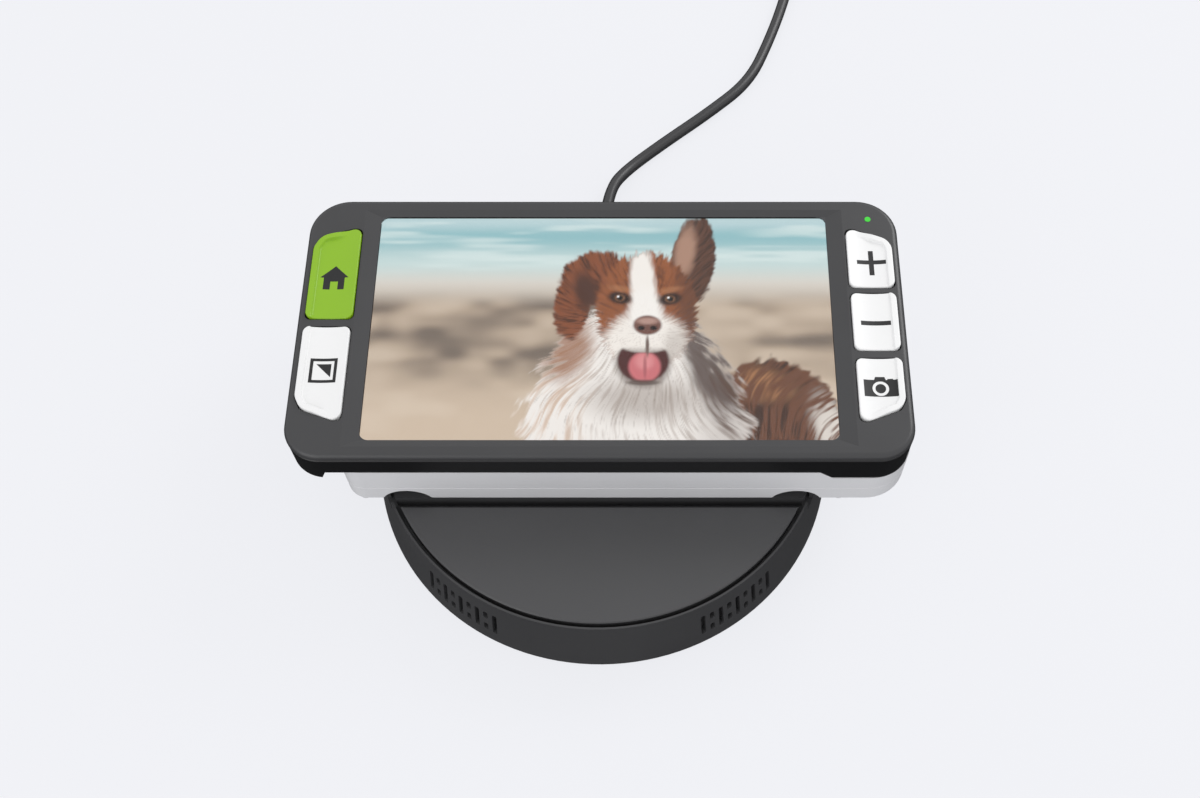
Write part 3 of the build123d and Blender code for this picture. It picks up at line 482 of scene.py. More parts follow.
def bar(x0, x1, y0, y1):
    """The four corners of an upright or lying bar."""
    return [(x0, y0), (x1, y0), (x1, y1), (x0, y1)]


def inlay(button, name, loops):
    """Fills the loops, an inner loop making a hole, extrudes them, slices the solid every STRIP
    along X and lifts every point by the button's height there. The loops are given in the dock's
    frame, and the height in the magnifier's."""
    flat = bpy.data.curves.new(name, "CURVE")
    flat.dimensions, flat.fill_mode, flat.extrude = "2D", "BOTH", INLAY_DEPTH / 2
    for loop in loops:
        edge = flat.splines.new("POLY")
        edge.points.add(len(loop) - 1)
        edge.points.foreach_set("co", np.c_[loop, np.zeros(len(loop)), np.ones(len(loop))].ravel())
        edge.use_cyclic_u = True
    drawn = bpy.data.objects.new(name, flat)
    mesh = bpy.data.meshes.new_from_object(drawn)
    bpy.data.objects.remove(drawn)
    work = bmesh.new()
    work.from_mesh(mesh)
    bmesh.ops.remove_doubles(work, verts=work.verts, dist=1e-4)
    left, right = min(v.co.x for v in work.verts), max(v.co.x for v in work.verts)
    for x in np.arange(left + STRIP, right, STRIP):
        every = work.verts[:] + work.edges[:] + work.faces[:]
        bmesh.ops.bisect_plane(work, geom=every, plane_co=(x, 0, 0), plane_no=(1, 0, 0))
    bmesh.ops.triangulate(work, faces=work.faces)
    bmesh.ops.recalc_face_normals(work, faces=work.faces)
    work.to_mesh(mesh)
    work.free()
    points = np.zeros(len(mesh.vertices) * 3)
    mesh.vertices.foreach_get("co", points)
    points = points.reshape(-1, 3)
    plan = points[:, :2] - [MAGNIFIER_X, 0]
    points[:, 2] += button_height(button, plan) + INLAY_PROUD - INLAY_DEPTH / 2
    faces = [list(face.vertices) for face in mesh.polygons]
    return add_mesh(name, points, faces, button, "black_nylon")


HOUSE = [
    (-78.1, 36.1), (-82.3, 32.0), (-81.25, 32.0), (-81.25, 27.9), (-79.25, 27.9), (-79.25, 30.7),
    (-77.0, 30.7), (-77.0, 27.9), (-75.1, 27.9), (-75.1, 32.0), (-74.0, 32.0),
]
PLUS = [
    (76.05, 36.75), (79.55, 36.75), (79.55, 32.9), (81.0, 32.9), (81.0, 36.75), (84.6, 36.75),
    (84.6, 38.15), (81.0, 38.15), (81.0, 41.5), (79.55, 41.5), (79.55, 38.15), (76.05, 38.15),
]
CAMERA_BODY = [
    (75.2, -8.1), (84.8, -8.1), (84.8, -2.7), (83.6, -2.7), (83.6, -2.4), (82.0, -2.4),
    (82.0, -2.7), (81.6, -2.7), (81.2, -1.7), (78.6, -1.7), (78.2, -2.7), (75.2, -2.7),
]
LENS_X, LENS_Y = 79.95, -5.5
symbols = [
    inlay("home_button", "home_symbol", [HOUSE]),
    inlay("mode_button", "mode_symbol", [
        bar(-82.1, -74.3, -3.6, 4.35), bar(-81.2, -75.2, -2.7, 3.45),
        [(-80.3, 2.5), (-76.0, 2.5), (-76.0, -1.8)],
    ]),
    inlay("zoom_in_button", "plus_symbol", [PLUS]),
    inlay("zoom_out_button", "minus_symbol", [bar(75.8, 84.45, 15.5, 16.95)]),
    inlay("capture_button", "camera_symbol", [
        CAMERA_BODY, circle(LENS_X, LENS_Y, 2.35), circle(LENS_X, LENS_Y, 1.5),
    ]),
]
for symbol in symbols:
    print(symbol.name, len(symbol.data.polygons), "faces")

# %% [markdown]
# The screen shows a live picture, so the top of the display panel is painted: a dog resting on a
# beach, out of sharp focus behind. A screen really is a grid of coloured dots, and a fine mesh
# grid with a colour at every point imitates that. The painting is layers of soft shapes, each
# mixed over the last by a mask that numpy works out for all the points at once.

# %% Picture grid and brushes
GLASS_LOW, GLASS_HIGH = (np.array(corner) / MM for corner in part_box("display_glass"))
PANEL_LOW, PANEL_HIGH = (np.array(corner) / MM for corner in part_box("display_panel"))
PICTURE_COLUMNS, PICTURE_ROWS = 400, 226
PICTURE_MARGIN = 0.1  # the panel clears the bezel's window by this much
picture_low, picture_high = GLASS_LOW + PICTURE_MARGIN, GLASS_HIGH - PICTURE_MARGIN
picture_x = np.linspace(picture_low[0], picture_high[0], PICTURE_COLUMNS)
picture_y = np.linspace(picture_low[1], picture_high[1], PICTURE_ROWS)
px, py = np.meshgrid(picture_x, picture_y)
dice = np.random.default_rng(7)


def linear(hex_colour):
    """Turns an sRGB hex colour to linear light: a channel is divided by 12.92 when dark, and
    otherwise shifted by 0.055, divided by 1.055 and raised to the power 2.4."""
    value = np.array([int(hex_colour[i:i + 2], 16) / 255 for i in (1, 3, 5)])
    return np.where(value <= 0.04045, value / 12.92, ((value + 0.055) / 1.055) ** 2.4)


def cloud(x, y, size_x, size_y):
    """Smooth noise from 0 to 1: random values on a lattice with cells of that size, mixed between
    lattice points by the cubic ease."""
    lattice = dice.random((256, 256))
    u, v = x / size_x + 128, y / size_y + 128
    i, j = np.floor(u).astype(int), np.floor(v).astype(int)
    s, t = smooth(u - i, 0, 1), smooth(v - j, 0, 1)
    a, b = lattice[i % 256, j % 256], lattice[(i + 1) % 256, j % 256]
    c, d = lattice[i % 256, (j + 1) % 256], lattice[(i + 1) % 256, (j + 1) % 256]
    return (a * (1 - s) + b * s) * (1 - t) + (c * (1 - s) + d * s) * t


def fur(x, y, width, length):
    """Hair that lies away from a point: noise in polar coordinates round it, with cells narrow
    across the hairs, measured on an arc 30 mm out, and long along them. Angles are counted from
    straight down, so that the join lies above the animal."""
    angle = np.arctan2(px - x, y - py)
    reach = np.hypot(px - x, py - y)
    arc = 30 * angle + 1.2 * np.sin(reach / 5)
    return 0.6 * cloud(arc, reach, width, length) + 0.4 * cloud(arc, reach, width / 2, length / 2)


def oval(x, y, radius_x, radius_y, turn=0.0, edge=0.12, ragged=0.0):
    """A soft mask: 1 inside a turned ellipse, 0 outside, over a border that is a share of its
    size wide; ragged, a pattern of fur, shifts the border in and out."""
    c, s = math.cos(math.radians(turn)), math.sin(math.radians(turn))
    u, v = (px - x) * c + (py - y) * s, (py - y) * c - (px - x) * s
    reach = np.hypot(u / radius_x, v / radius_y) + ragged
    return 1 - smooth(reach, 1 - edge, 1 + edge)


def paint(picture, *strokes):
    """Mixes hex colours over the picture one after another, each fully where its mask is 1."""
    for mask, tint in strokes:
        picture = picture + (linear(tint) - picture) * mask[..., None]
    return picture


print("picture grid:", px.shape, "points", round(picture_x[1] - picture_x[0], 2), "mm apart")

# %% Sea, surf and sand
picture = np.ones(px.shape + (3,)) * linear("#cdb9a4")
picture = paint(picture, (smooth(py, -16, 10), "#b3a08d"))
blur = 0.65 * cloud(px, py, 16, 6) + 0.35 * cloud(px, py, 7, 3.5)
picture = paint(
    picture,
    (smooth(blur, 0.35, 0.8) * smooth(py, -8, 8) * (1 - smooth(py, 22, 31)), "#76695e"),
    (smooth(1 - blur, 0.5, 0.85) * (1 - smooth(py, 22, 30)) * 0.5, "#d8c7b4"),
    (smooth(py, 22, 33), "#d6d0c7"),
    (smooth(py, 30, 39), "#c3d6d5"),
    (smooth(py, 38, 48), "#8fbbc1"),
    (smooth(py, 48, 53.5), "#b7cfd3"),
)
waves = 0.6 * cloud(px, py, 34, 2.2) + 0.4 * cloud(px, py, 12, 1.2)
picture = paint(picture, (smooth(py, 33, 40) * smooth(waves, 0.45, 0.85) * 0.6, "#dce8e6"))
print("backdrop painted, mean", picture.mean((0, 1)).round(3))

# %% Back and haunch of the dog
back_fur = fur(30, -60, 0.5, 7)
back_edge = (fur(30, -60, 0.9, 3.5) - 0.5) * 0.22
back = oval(51, -15, 17.5, 20.5, 24, 0.05, back_edge)
picture = paint(
    picture,
    (back, "#6b4430"),
    (back * smooth(back_fur, 0.42, 0.75) * 0.85, "#33211a"),
    (back * oval(45, -3, 10, 5, -12, 0.6) * smooth(back_fur, 0.4, 0.8), "#a9764f"),
    (back * oval(66, -19, 5, 12, 14, 0.5) * smooth(back_fur, 0.3, 0.6), "#d9d0c8"),
)
print("back painted")

# %% Mane and chest of the dog
mane_fur = fur(13, 24, 0.55, 8)
mane_fine = fur(13, 24, 0.3, 4)
mane_edge = (fur(13, 24, 1.3, 5) - 0.5) * 0.3 + (mane_fine - 0.5) * 0.14
mane = np.maximum(
    oval(11, -17, 31, 34, 0, 0.07, mane_edge), oval(10, 4, 23, 19, 0, 0.08, mane_edge))
picture = paint(
    picture,
    (mane, "#eee8e3"),
    (mane * smooth(mane_fur, 0.46, 0.8) * 0.55, "#a99a90"),
    (mane * smooth(mane_fine, 0.55, 0.85) * 0.3, "#7c6d64"),
    (mane * oval(14, -8, 15, 6.5, 0, 0.7) * 0.55, "#8a7a70"),
    (mane * smooth(-px, -2, 12) * smooth(mane_fur, 0.35, 0.75) * 0.45, "#d9b08d"),
    (mane * smooth(px, 22, 36) * 0.45, "#9b8f8a"),
    (mane * oval(32, 4, 6.5, 17, 14, 0.35, mane_edge) * 0.9, "#4b3730"),
    (mane * oval(37, -10, 5, 10, 20, 0.5, mane_edge) * smooth(mane_fur, 0.35, 0.7), "#5b4439"),
    (mane * oval(-9, 8, 6.5, 10, -20, 0.5, mane_edge) * 0.8, "#95603d"),
)
print("mane and chest painted")

# %% Ears and head of the dog
head_fur = fur(13.5, 14, 0.4, 3.6)
head_edge = (fur(13.5, 14, 0.9, 3) - 0.5) * 0.22
ear = np.maximum(
    oval(-2, 33, 10.5, 9, 38, 0.08, head_edge), oval(-8, 24, 5.2, 12.5, -6, 0.1, head_edge))
picture = paint(
    picture,
    (ear, "#84492a"),
    (ear * smooth(head_fur, 0.42, 0.75) * 0.85, "#371e14"),
    (ear * oval(-4, 28, 3.2, 7, 14, 0.5), "#4a2a1d"),
)
ear = oval(27.5, 39, 6.6, 16.5, -7, 0.07, head_edge)
picture = paint(
    picture,
    (ear, "#5b3a2a"),
    (ear * smooth(head_fur, 0.42, 0.75) * 0.8, "#2b1a14"),
    (oval(25.2, 42, 3.0, 9.5, -9, 0.45, head_edge) * ear, "#a9836f"),
)
head = oval(13.8, 22, 14.6, 20, 0, 0.06, head_edge)
picture = paint(
    picture,
    (head, "#94552f"),
    (head * smooth(head_fur, 0.42, 0.8) * 0.75, "#4f2a1a"),
    (head * smooth(px, 19, 27) * 0.6, "#3f2c25"),
    (head * oval(12.6, 31, 3.6, 14, 3, 0.3, head_edge), "#f1ebe5"),
    (head * oval(13.6, 9, 12.5, 12, 0, 0.2, head_edge), "#efe8e1"),
    (head * oval(13.4, 21, 4.8, 8, 0, 0.35, head_edge), "#f3eee9"),
    (head * (1 - smooth(py, 2, 30)) * smooth(head_fur, 0.5, 0.85) * 0.4, "#9c8a80"),
    (head * oval(22.5, 9, 3.5, 6, 0, 0.6) * 0.4, "#8f8178"),
)
print("ears and head painted")

# %% Eyes, nose and mouth of the dog
for eye_x, eye_y, tilt in ((5.9, 26.0, -12), (20.7, 25.6, 12)):
    picture = paint(
        picture,
        (oval(eye_x, eye_y, 3.4, 2.0, tilt, 0.35), "#2a1710"),
        (oval(eye_x, eye_y, 1.5, 1.2, 0, 0.25), "#7a5235"),
        (oval(eye_x, eye_y, 0.9, 0.9, 0, 0.25), "#0f0b0a"),
        (oval(eye_x - 0.5, eye_y + 0.5, 0.35, 0.35, 0, 0.4), "#f4f4f4"),
        (oval(eye_x, eye_y + 3.2, 3.4, 1.0, tilt, 0.6) * 0.5, "#b47a50"),
    )
mouth = oval(12.8, 4.6, 7.4, 7.2, 0, 0.08) * (1 - oval(13.4, 11.6, 8.6, 4.4, 0, 0.12))
picture = paint(
    picture,
    (oval(12.8, 3.6, 8.2, 8.0, 0, 0.15) * (1 - smooth(py, 7, 10)) * 0.6, "#6a5a52"),
    (mouth, "#4a1f1c"),
    (oval(13.2, 2.6, 4.6, 5.0, 0, 0.14) * mouth, "#c96f74"),
    (oval(13.2, 4.4, 2.6, 2.6, 0, 0.5) * mouth * 0.6, "#e39a9b"),
    (oval(13.3, 2.6, 0.45, 3.8, 0, 0.5) * mouth * 0.7, "#9c4f55"),
    (oval(12.8, -2.6, 4.6, 0.9, 0, 0.35) * 0.8, "#54433c"),
    (oval(14.0, 9.6, 0.5, 3.4, 0, 0.5), "#6a564e"),
    (oval(14.0, 16.6, 4.1, 3.3, 0, 0.14), "#6f4a40"),
    (oval(14.0, 18.0, 3.0, 1.1, 0, 0.5), "#b08c80"),
)
for nostril_x in (12.2, 15.8):
    picture = paint(picture, (oval(nostril_x, 15.6, 1.0, 0.75, 0, 0.3), "#1c1110"))
print("eyes, nose and mouth painted")

# %% [markdown]
# The panel is one closed slab that fills the bezel's window. Its top carries the picture grid, and
# the walls and the back close it. The picture lies just under the thin cover glass, as in a
# bonded screen, which has no air gap.

# %% Display panel with its picture
PICTURE_DROP = 0.02  # below the glass, so that no two faces share a plane
top_z = np.full(px.shape, PANEL_HIGH[2] - PICTURE_DROP)
top = np.stack([px, py, top_z], -1).reshape(-1, 3)
index = np.arange(len(top)).reshape(px.shape)
quads = np.stack([index[:-1, :-1], index[:-1, 1:], index[1:, 1:], index[1:, :-1]], -1)
rim = np.concatenate([index[0, :-1], index[:-1, -1], index[-1, :0:-1], index[:0:-1, 0]])
foot = len(top) + np.arange(len(rim))
walls = np.stack([np.roll(rim, -1), rim, foot, np.roll(foot, -1)], -1)
bottom = top[rim].copy()
bottom[:, 2] = PANEL_LOW[2]
panel_faces = quads.reshape(-1, 4).tolist() + walls.tolist() + [foot[::-1].tolist()]
display_picture = add_mesh(
    "display_picture", np.concatenate([top, bottom]), panel_faces, "magnifier", "display_panel",
    ["display_panel"],
)
colours = np.zeros((len(top) + len(rim), 4))
colours[:, 3] = 1
colours[:len(top), :3] = picture.reshape(-1, 3)
layer = display_picture.data.color_attributes.new("picture", "FLOAT_COLOR", "POINT")
layer.data.foreach_set("color", colours.ravel())
print("display picture:", len(panel_faces), "faces")

# %% [markdown]
# Finishes. Every material starts from the plastic, metal or cloth it really is. One helper adds a
# shader node with its settings and links, so each recipe below reads as a list of what feeds
# what. Patterns are sized in millimetres on the object itself.


# %% Shader helper
def add(tree, kind, inputs=None, **settings):
    """Adds one node, sets its properties, and fills each named or numbered input: with a link
    where the value is another node's output, and with the value itself otherwise."""
    made = tree.nodes.new(kind)
    for name, value in settings.items():
        setattr(made, name, value)
    for name, value in (inputs or {}).items():
        if isinstance(value, bpy.types.NodeSocket):
            tree.links.new(value, made.inputs[name])
        else:
            made.inputs[name].default_value = value
    return made


def colour(hex_colour):
    """A hex colour as the four linear numbers that a colour input takes."""
    return (*linear(hex_colour), 1.0)


def new_finish(name):
    """An empty material, with its tree and its output node."""
    material = bpy.data.materials.new(name)
    material.use_nodes = True
    material.node_tree.nodes.clear()
    output = material.node_tree.nodes.new("ShaderNodeOutputMaterial")
    return material, material.node_tree, output


finishes = {}

# %% [markdown]
# Moulded ABS is the plastic of both housings. A steel mould gives it its skin: spark-eroded steel
# leaves a fine even grain, polished steel a satin gloss. The colour is mixed into the granules,
# so it hardly varies; what the eye reads is the soft sheen and the grain's tiny shadows. The
# real grain is 0.1 to 0.2 mm wide and is drawn about twice as coarse, so that it shows at all.


# %% Moulded plastic
def moulded_plastic(name, base, shade, roughness, grain, relief, ior=1.5):
    """A dielectric with two hex colours mixed by a broad cloud, roughness that varies a little
    with the same cloud, and a bump from noise with bumps as wide as grain, in millimetres."""
    material, tree, output = new_finish(name)
    place = add(tree, "ShaderNodeTexCoord").outputs["Object"]
    flow = add(tree, "ShaderNodeTexNoise", {"Vector": place, "Scale": 1 / (18 * MM), "Detail": 3.0})
    tint = add(tree, "ShaderNodeMix", {
        "Factor": flow.outputs["Fac"], 6: colour(base), 7: colour(shade)}, data_type="RGBA")
    grit = add(tree, "ShaderNodeTexNoise", {
        "Vector": place, "Scale": 1 / (grain * MM), "Detail": 2.0})
    gloss = add(tree, "ShaderNodeMapRange", {
        "Value": flow.outputs["Fac"], "From Min": 0.3, "From Max": 0.7,
        "To Min": roughness - 0.03, "To Max": roughness + 0.03})
    bump = add(tree, "ShaderNodeBump", {
        "Height": grit.outputs["Fac"], "Strength": 1.0, "Distance": relief * MM})
    shader = add(tree, "ShaderNodeBsdfPrincipled", {
        "Base Color": tint.outputs[2], "Roughness": gloss.outputs["Result"],
        "Normal": bump.outputs["Normal"], "IOR": ior})
    add_surface(tree, shader, output)
    return material


def add_surface(tree, shader, output):
    """Links a shader to the material's surface."""
    tree.links.new(shader.outputs[0], output.inputs["Surface"])


# The dock's housing: dark grey, dull, with the strongest grain.
finishes["dock_charcoal_abs"] = moulded_plastic(
    "spark_eroded_charcoal_abs", "#39393a", "#3c3c3d", 0.46, 0.5, 0.012)
# The plate in front of the magnifier: the same plastic from a smoother mould face. Its lighter
# colour is painted light, for a top that faces up into the lamps.
finishes["dock_plate_abs"] = moulded_plastic(
    "satin_plate_abs_painted_lighter", "#464647", "#4a4a4b", 0.42, 0.5, 0.008)
# The dock's underside: the same plastic, a shade darker and duller.
finishes["dock_base_abs"] = moulded_plastic(
    "plain_dark_abs", "#303031", "#343435", 0.55, 0.5, 0.012)
# The bezel: charcoal with a soft satin sheen that catches the window side.
finishes["bezel_charcoal_abs"] = moulded_plastic(
    "satin_charcoal_abs", "#39393a", "#3d3d3e", 0.36, 0.45, 0.006)
# The middle frame: nearly black, smoother, so that only its corners shine.
finishes["frame_dark_abs"] = moulded_plastic(
    "satin_black_abs", "#121213", "#161617", 0.34, 0.45, 0.004)
# The back of the magnifier: light grey, half matt.
finishes["light_grey_abs"] = moulded_plastic(
    "satin_light_grey_abs", "#cececf", "#d2d2d3", 0.42, 0.5, 0.006)
# Plug grips and strain reliefs: soft black overmoulding, dull.
finishes["black_nylon"] = moulded_plastic(
    "overmoulded_black_plastic", "#161617", "#1b1b1c", 0.5, 0.5, 0.01)
# Camera holder: deep matt black, which keeps stray light away from the lens.
finishes["camera_black"] = moulded_plastic("matt_black_abs", "#0d0d0e", "#111112", 0.7, 0.5, 0.01)
# The cord's jacket: extruded, so smoother, with a soft silky line of light along it.
finishes["cord_jacket"] = moulded_plastic(
    "extruded_cord_jacket", "#313132", "#353536", 0.36, 0.8, 0.004)
# Button caps: bright moulded plastic with a soft satin gloss.
finishes["button_green"] = moulded_plastic(
    "satin_lime_abs", "#8ab81d", "#86b41a", 0.36, 0.5, 0.003)
finishes["button_white"] = moulded_plastic(
    "satin_white_abs", "#eaeae9", "#ededec", 0.36, 0.5, 0.003)
# Foot rubber and the silicone key mats: matt, with a faint bloom.
finishes["foot_rubber"] = moulded_plastic("moulded_rubber", "#242425", "#2b2b2c", 0.75, 0.6, 0.015)
finishes["keypad_silicone"] = moulded_plastic(
    "moulded_silicone", "#8a8a8c", "#919193", 0.6, 0.8, 0.01)
print(len(finishes), "moulded finishes")

# %% [markdown]
# Metal parts. Zinc plating on screws is bright with a faint cloud, nickel on a plug's shell is
# smoother and warmer, gold on contacts is polished, and the inner chassis is plain rolled sheet
# with fine lines one way. All are pure metals to the shader, told apart by colour and roughness.


# %% Plated and rolled metal
def plated_metal(name, base, roughness, stretch, size):
    """A metal whose roughness follows noise; stretch squeezes the noise across X, so a large
    value draws the fine lines of rolling or brushing."""
    material, tree, output = new_finish(name)
    place = add(tree, "ShaderNodeTexCoord").outputs["Object"]
    turned = add(tree, "ShaderNodeMapping", {"Vector": place, "Scale": (1.0, stretch, stretch)})
    lines = add(tree, "ShaderNodeTexNoise", {
        "Vector": turned.outputs["Vector"], "Scale": 1 / (size * MM), "Detail": 3.0})
    gloss = add(tree, "ShaderNodeMapRange", {
        "Value": lines.outputs["Fac"], "From Min": 0.3, "From Max": 0.7,
        "To Min": roughness * 0.8, "To Max": roughness * 1.25})
    bump = add(tree, "ShaderNodeBump", {"Height": lines.outputs["Fac"], "Distance": 0.003 * MM})
    shader = add(tree, "ShaderNodeBsdfPrincipled", {
        "Base Color": colour(base), "Metallic": 1.0, "Roughness": gloss.outputs["Result"],
        "Normal": bump.outputs["Normal"]})
    add_surface(tree, shader, output)
    return material


finishes["zinc_steel"] = plated_metal("zinc_plated_steel", "#b9bcc1", 0.3, 1.0, 0.8)
finishes["nickel_shell"] = plated_metal("nickel_plated_steel", "#c9c5bd", 0.18, 6.0, 2.0)
finishes["gold_contact"] = plated_metal("gold_plated_brass", "#d8b15c", 0.16, 1.0, 0.8)
finishes["chassis_aluminium"] = plated_metal("rolled_aluminium", "#b7babd", 0.34, 12.0, 4.0)
print("metal finishes added")

# %% [markdown]
# Glass. The screen's cover glass is anti-reflective, so it mirrors far less than plain glass, and
# the picture shows through almost untouched. A lower index of refraction gives just that. The
# camera's window and lens are coated too, with a slight violet tint. The lit parts, the picture
# and the status light, give off light themselves.


# %% Glass and lit parts
def clear_glass(name, tint, roughness, ior):
    """Glass that lets light through, faintly uneven like every polished sheet."""
    material, tree, output = new_finish(name)
    place = add(tree, "ShaderNodeTexCoord").outputs["Object"]
    ripple = add(tree, "ShaderNodeTexNoise", {"Vector": place, "Scale": 1 / (40 * MM)})
    bump = add(tree, "ShaderNodeBump", {"Height": ripple.outputs["Fac"], "Distance": 0.002 * MM})
    shader = add(tree, "ShaderNodeBsdfPrincipled", {
        "Base Color": colour(tint), "Transmission Weight": 1.0, "Roughness": roughness,
        "IOR": ior, "Normal": bump.outputs["Normal"]})
    add_surface(tree, shader, output)
    return material


def lit_picture(name, brightness):
    """A dark panel that shines with the colours painted on its points."""
    material, tree, output = new_finish(name)
    painted = add(tree, "ShaderNodeAttribute", attribute_name="picture")
    shader = add(tree, "ShaderNodeBsdfPrincipled", {
        "Base Color": colour("#050506"), "Roughness": 0.3,
        "Emission Color": painted.outputs["Color"], "Emission Strength": brightness})
    add_surface(tree, shader, output)
    return material


def lit_pipe(name, glow, brightness):
    """A light pipe over a lamp: evenly lit, with a brighter middle from a soft cloud."""
    material, tree, output = new_finish(name)
    place = add(tree, "ShaderNodeTexCoord").outputs["Object"]
    haze = add(tree, "ShaderNodeTexNoise", {"Vector": place, "Scale": 1 / (1.5 * MM)})
    tint = add(tree, "ShaderNodeMix", {
        "Factor": haze.outputs["Fac"], 6: colour(glow[0]), 7: colour(glow[1])}, data_type="RGBA")
    shader = add(tree, "ShaderNodeBsdfPrincipled", {
        "Base Color": tint.outputs[2], "Roughness": 0.25,
        "Emission Color": tint.outputs[2], "Emission Strength": brightness})
    add_surface(tree, shader, output)
    return material


finishes["display_glass"] = clear_glass("coated_cover_glass", "#fdfefe", 0.02, 1.12)
finishes["lens_glass"] = clear_glass("coated_lens_glass", "#e4e0f2", 0.0, 1.5)
finishes["display_panel"] = lit_picture("lit_display_panel", 1.0)
finishes["status_light"] = lit_pipe("lit_green_pipe", ("#2fae2a", "#3cc236"), 0.35)
finishes["lamp_module"] = lit_pipe("lamp_phosphor", ("#efe6b8", "#f6efcb"), 0.0)
print("glass and lit finishes added")

# %% [markdown]
# Cloth and paper. The strap and the speaker covers are woven: threads cross over and under, which
# two waves at right angles imitate. The real threads are 0.2 mm apart and are drawn at 0.5 mm so
# that the weave shows. The speaker cones are pressed paper pulp.


# %% Woven cloth, paper, boards and wrap
def woven_cloth(name, base, gap, spacing, roughness):
    """Two sets of threads: sine waves along X + Z and along Y, multiplied, raise the crossings
    and darken the gaps."""
    material, tree, output = new_finish(name)
    place = add(tree, "ShaderNodeTexCoord").outputs["Object"]
    warp = add(tree, "ShaderNodeTexWave", {
        "Vector": place, "Scale": math.pi / (10 * spacing * MM), "Distortion": 0.4},
        bands_direction="Y")
    weft = add(tree, "ShaderNodeTexWave", {
        "Vector": place, "Scale": math.pi / (10 * spacing * MM), "Distortion": 0.4},
        bands_direction="Z")
    crossing = add(tree, "ShaderNodeMath", {0: warp.outputs["Fac"], 1: weft.outputs["Fac"]},
                   operation="MULTIPLY")
    tint = add(tree, "ShaderNodeMix", {
        "Factor": crossing.outputs[0], 6: colour(gap), 7: colour(base)}, data_type="RGBA")
    bump = add(tree, "ShaderNodeBump", {"Height": crossing.outputs[0], "Distance": 0.08 * MM})
    shader = add(tree, "ShaderNodeBsdfPrincipled", {
        "Base Color": tint.outputs[2], "Roughness": roughness, "Normal": bump.outputs["Normal"],
        "Sheen Weight": 0.3, "Sheen Roughness": 0.5})
    add_surface(tree, shader, output)
    return material


finishes["speaker_cloth"] = woven_cloth("black_woven_cloth", "#19191a", "#060607", 0.5, 0.9)
# Pressed paper pulp: dull, with short fibres.
finishes["speaker_paper"] = moulded_plastic(
    "pressed_paper_pulp", "#1d1d1d", "#2a2928", 0.85, 0.7, 0.04)
# Solder resist over a glass-fibre board: glossy green.
finishes["circuit_board"] = moulded_plastic(
    "green_solder_resist", "#14472b", "#185232", 0.3, 1.2, 0.01)
# Shrink film round the cells: smooth, blue, wrinkled a little.
finishes["battery_wrap"] = moulded_plastic(
    "blue_shrink_film", "#33506e", "#395a7c", 0.3, 6.0, 0.06)

for slot_finish in sorted(finishes):
    print(slot_finish, "->", finishes[slot_finish].name)

# %% Give every piece its finish
for node in nodes.values():
    for used in node.material_slots:
        used.material = finishes[used.material.name.split(".")[0]]
new_pieces = [
    o for o in bpy.context.scene.objects if "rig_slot" in o and not o.hide_render
]
for piece in new_pieces:
    piece.data.materials.clear()
    piece.data.materials.append(finishes[piece["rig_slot"]])
print(len(new_pieces), "new pieces and", len(nodes), "CAD nodes finished")

# %% [markdown]
# The stage is a wide pale sweep of paper that is lit so evenly that its shadows all but vanish.
# The dark plastics live from what they mirror: a bright room above, a large soft lamp behind the
# right shoulder of the magnifier, and darkness below the table's edge. So the paper glows evenly
# and is hidden from mirror reflections. Far out it bends up all round, and hides the horizon.

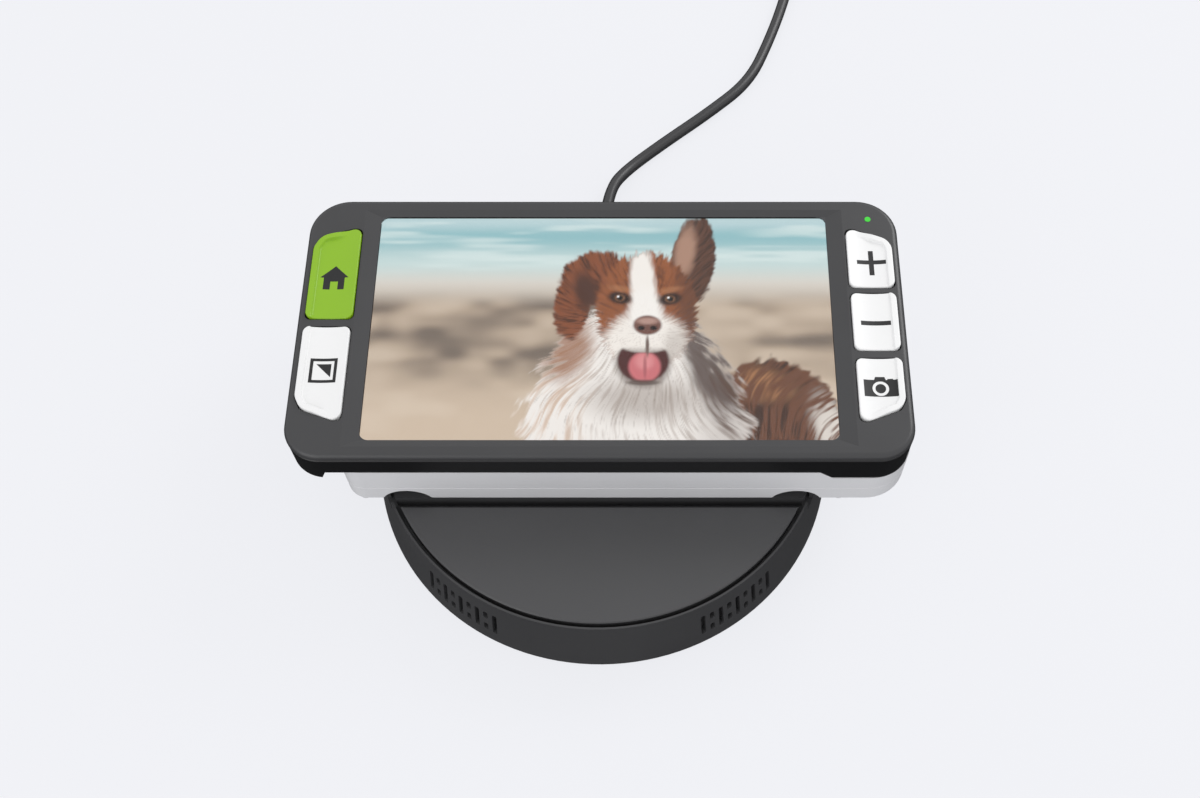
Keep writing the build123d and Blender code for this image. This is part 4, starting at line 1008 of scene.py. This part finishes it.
# %% Floor and light
SWEEP_FLAT, SWEEP_BEND = 2.5, 1.5  # metres: the flat part's radius, and that of the bend
bend = np.linspace(0, np.pi / 2, 9)
spread = SWEEP_FLAT + SWEEP_BEND * np.sin(bend)
rise = SWEEP_BEND * (1 - np.cos(bend))
bearing = 2 * np.pi * np.arange(64) / 64
sweep = np.stack([
    spread[:, None] * np.cos(bearing), spread[:, None] * np.sin(bearing),
    np.repeat(rise[:, None], 64, 1)], -1)
index = np.arange(sweep[..., 0].size).reshape(sweep.shape[:2])
onward = np.roll(index, -1, 1)
quads = np.stack([index[:-1], onward[:-1], onward[1:], index[1:]], -1).reshape(-1, 4)
floor_mesh = bpy.data.meshes.new("floor")
floor_mesh.from_pydata(sweep.reshape(-1, 3).tolist(), [], [index[0].tolist()] + quads.tolist())
floor = bpy.data.objects.new("floor", floor_mesh)
bpy.context.scene.collection.objects.link(floor)
floor.visible_glossy = False
paper, tree, output = new_finish("pale_paper_sweep")
shader = add(tree, "ShaderNodeBsdfPrincipled", {
    "Base Color": colour("#5c5c5e"), "Roughness": 0.9, "Specular IOR Level": 0.0,
    "Emission Color": colour("#f0f1f5"), "Emission Strength": 0.88})
add_surface(tree, shader, output)
floor_mesh.materials.append(paper)

world = bpy.data.worlds.new("studio")
bpy.context.scene.world = world
world.use_nodes = True
tree = world.node_tree
tree.nodes.clear()
direction = add(tree, "ShaderNodeTexCoord").outputs["Generated"]
height = add(tree, "ShaderNodeSeparateXYZ", {0: direction}).outputs["Z"]
glow = add(tree, "ShaderNodeMapRange", {
    "Value": height, "From Min": -0.05, "From Max": 0.12, "To Min": 0.03, "To Max": 0.85})
sky = add(tree, "ShaderNodeBackground", {"Color": colour("#fdfdff"), "Strength": glow.outputs[0]})
output = tree.nodes.new("ShaderNodeOutputWorld")
tree.links.new(sky.outputs[0], output.inputs["Surface"])
print("flat floor", 2 * SWEEP_FLAT, "m across")


# %% Soft lamps
def soft_lamp(name, place, target, size, power):
    """A square soft box that faces its target."""
    light = bpy.data.lights.new(name, "AREA")
    light.shape, light.size, light.energy = "SQUARE", size, power
    lamp = bpy.data.objects.new(name, light)
    lamp.location = place
    away = np.array(place) - np.array(target)
    lamp.rotation_euler = (
        math.acos(away[2] / np.linalg.norm(away)), 0.0, math.atan2(away[1], away[0]) + math.pi / 2)
    bpy.context.scene.collection.objects.link(lamp)
    return lamp


soft_lamp("right_softbox", (0.75, 0.7, 0.75), (0.05, 0.02, 0.05), 0.6, 5.0)
soft_lamp("front_fill", (-0.7, -0.8, 0.6), (0.0, 0.0, 0.03), 0.8, 3.0)
print("two soft lamps")
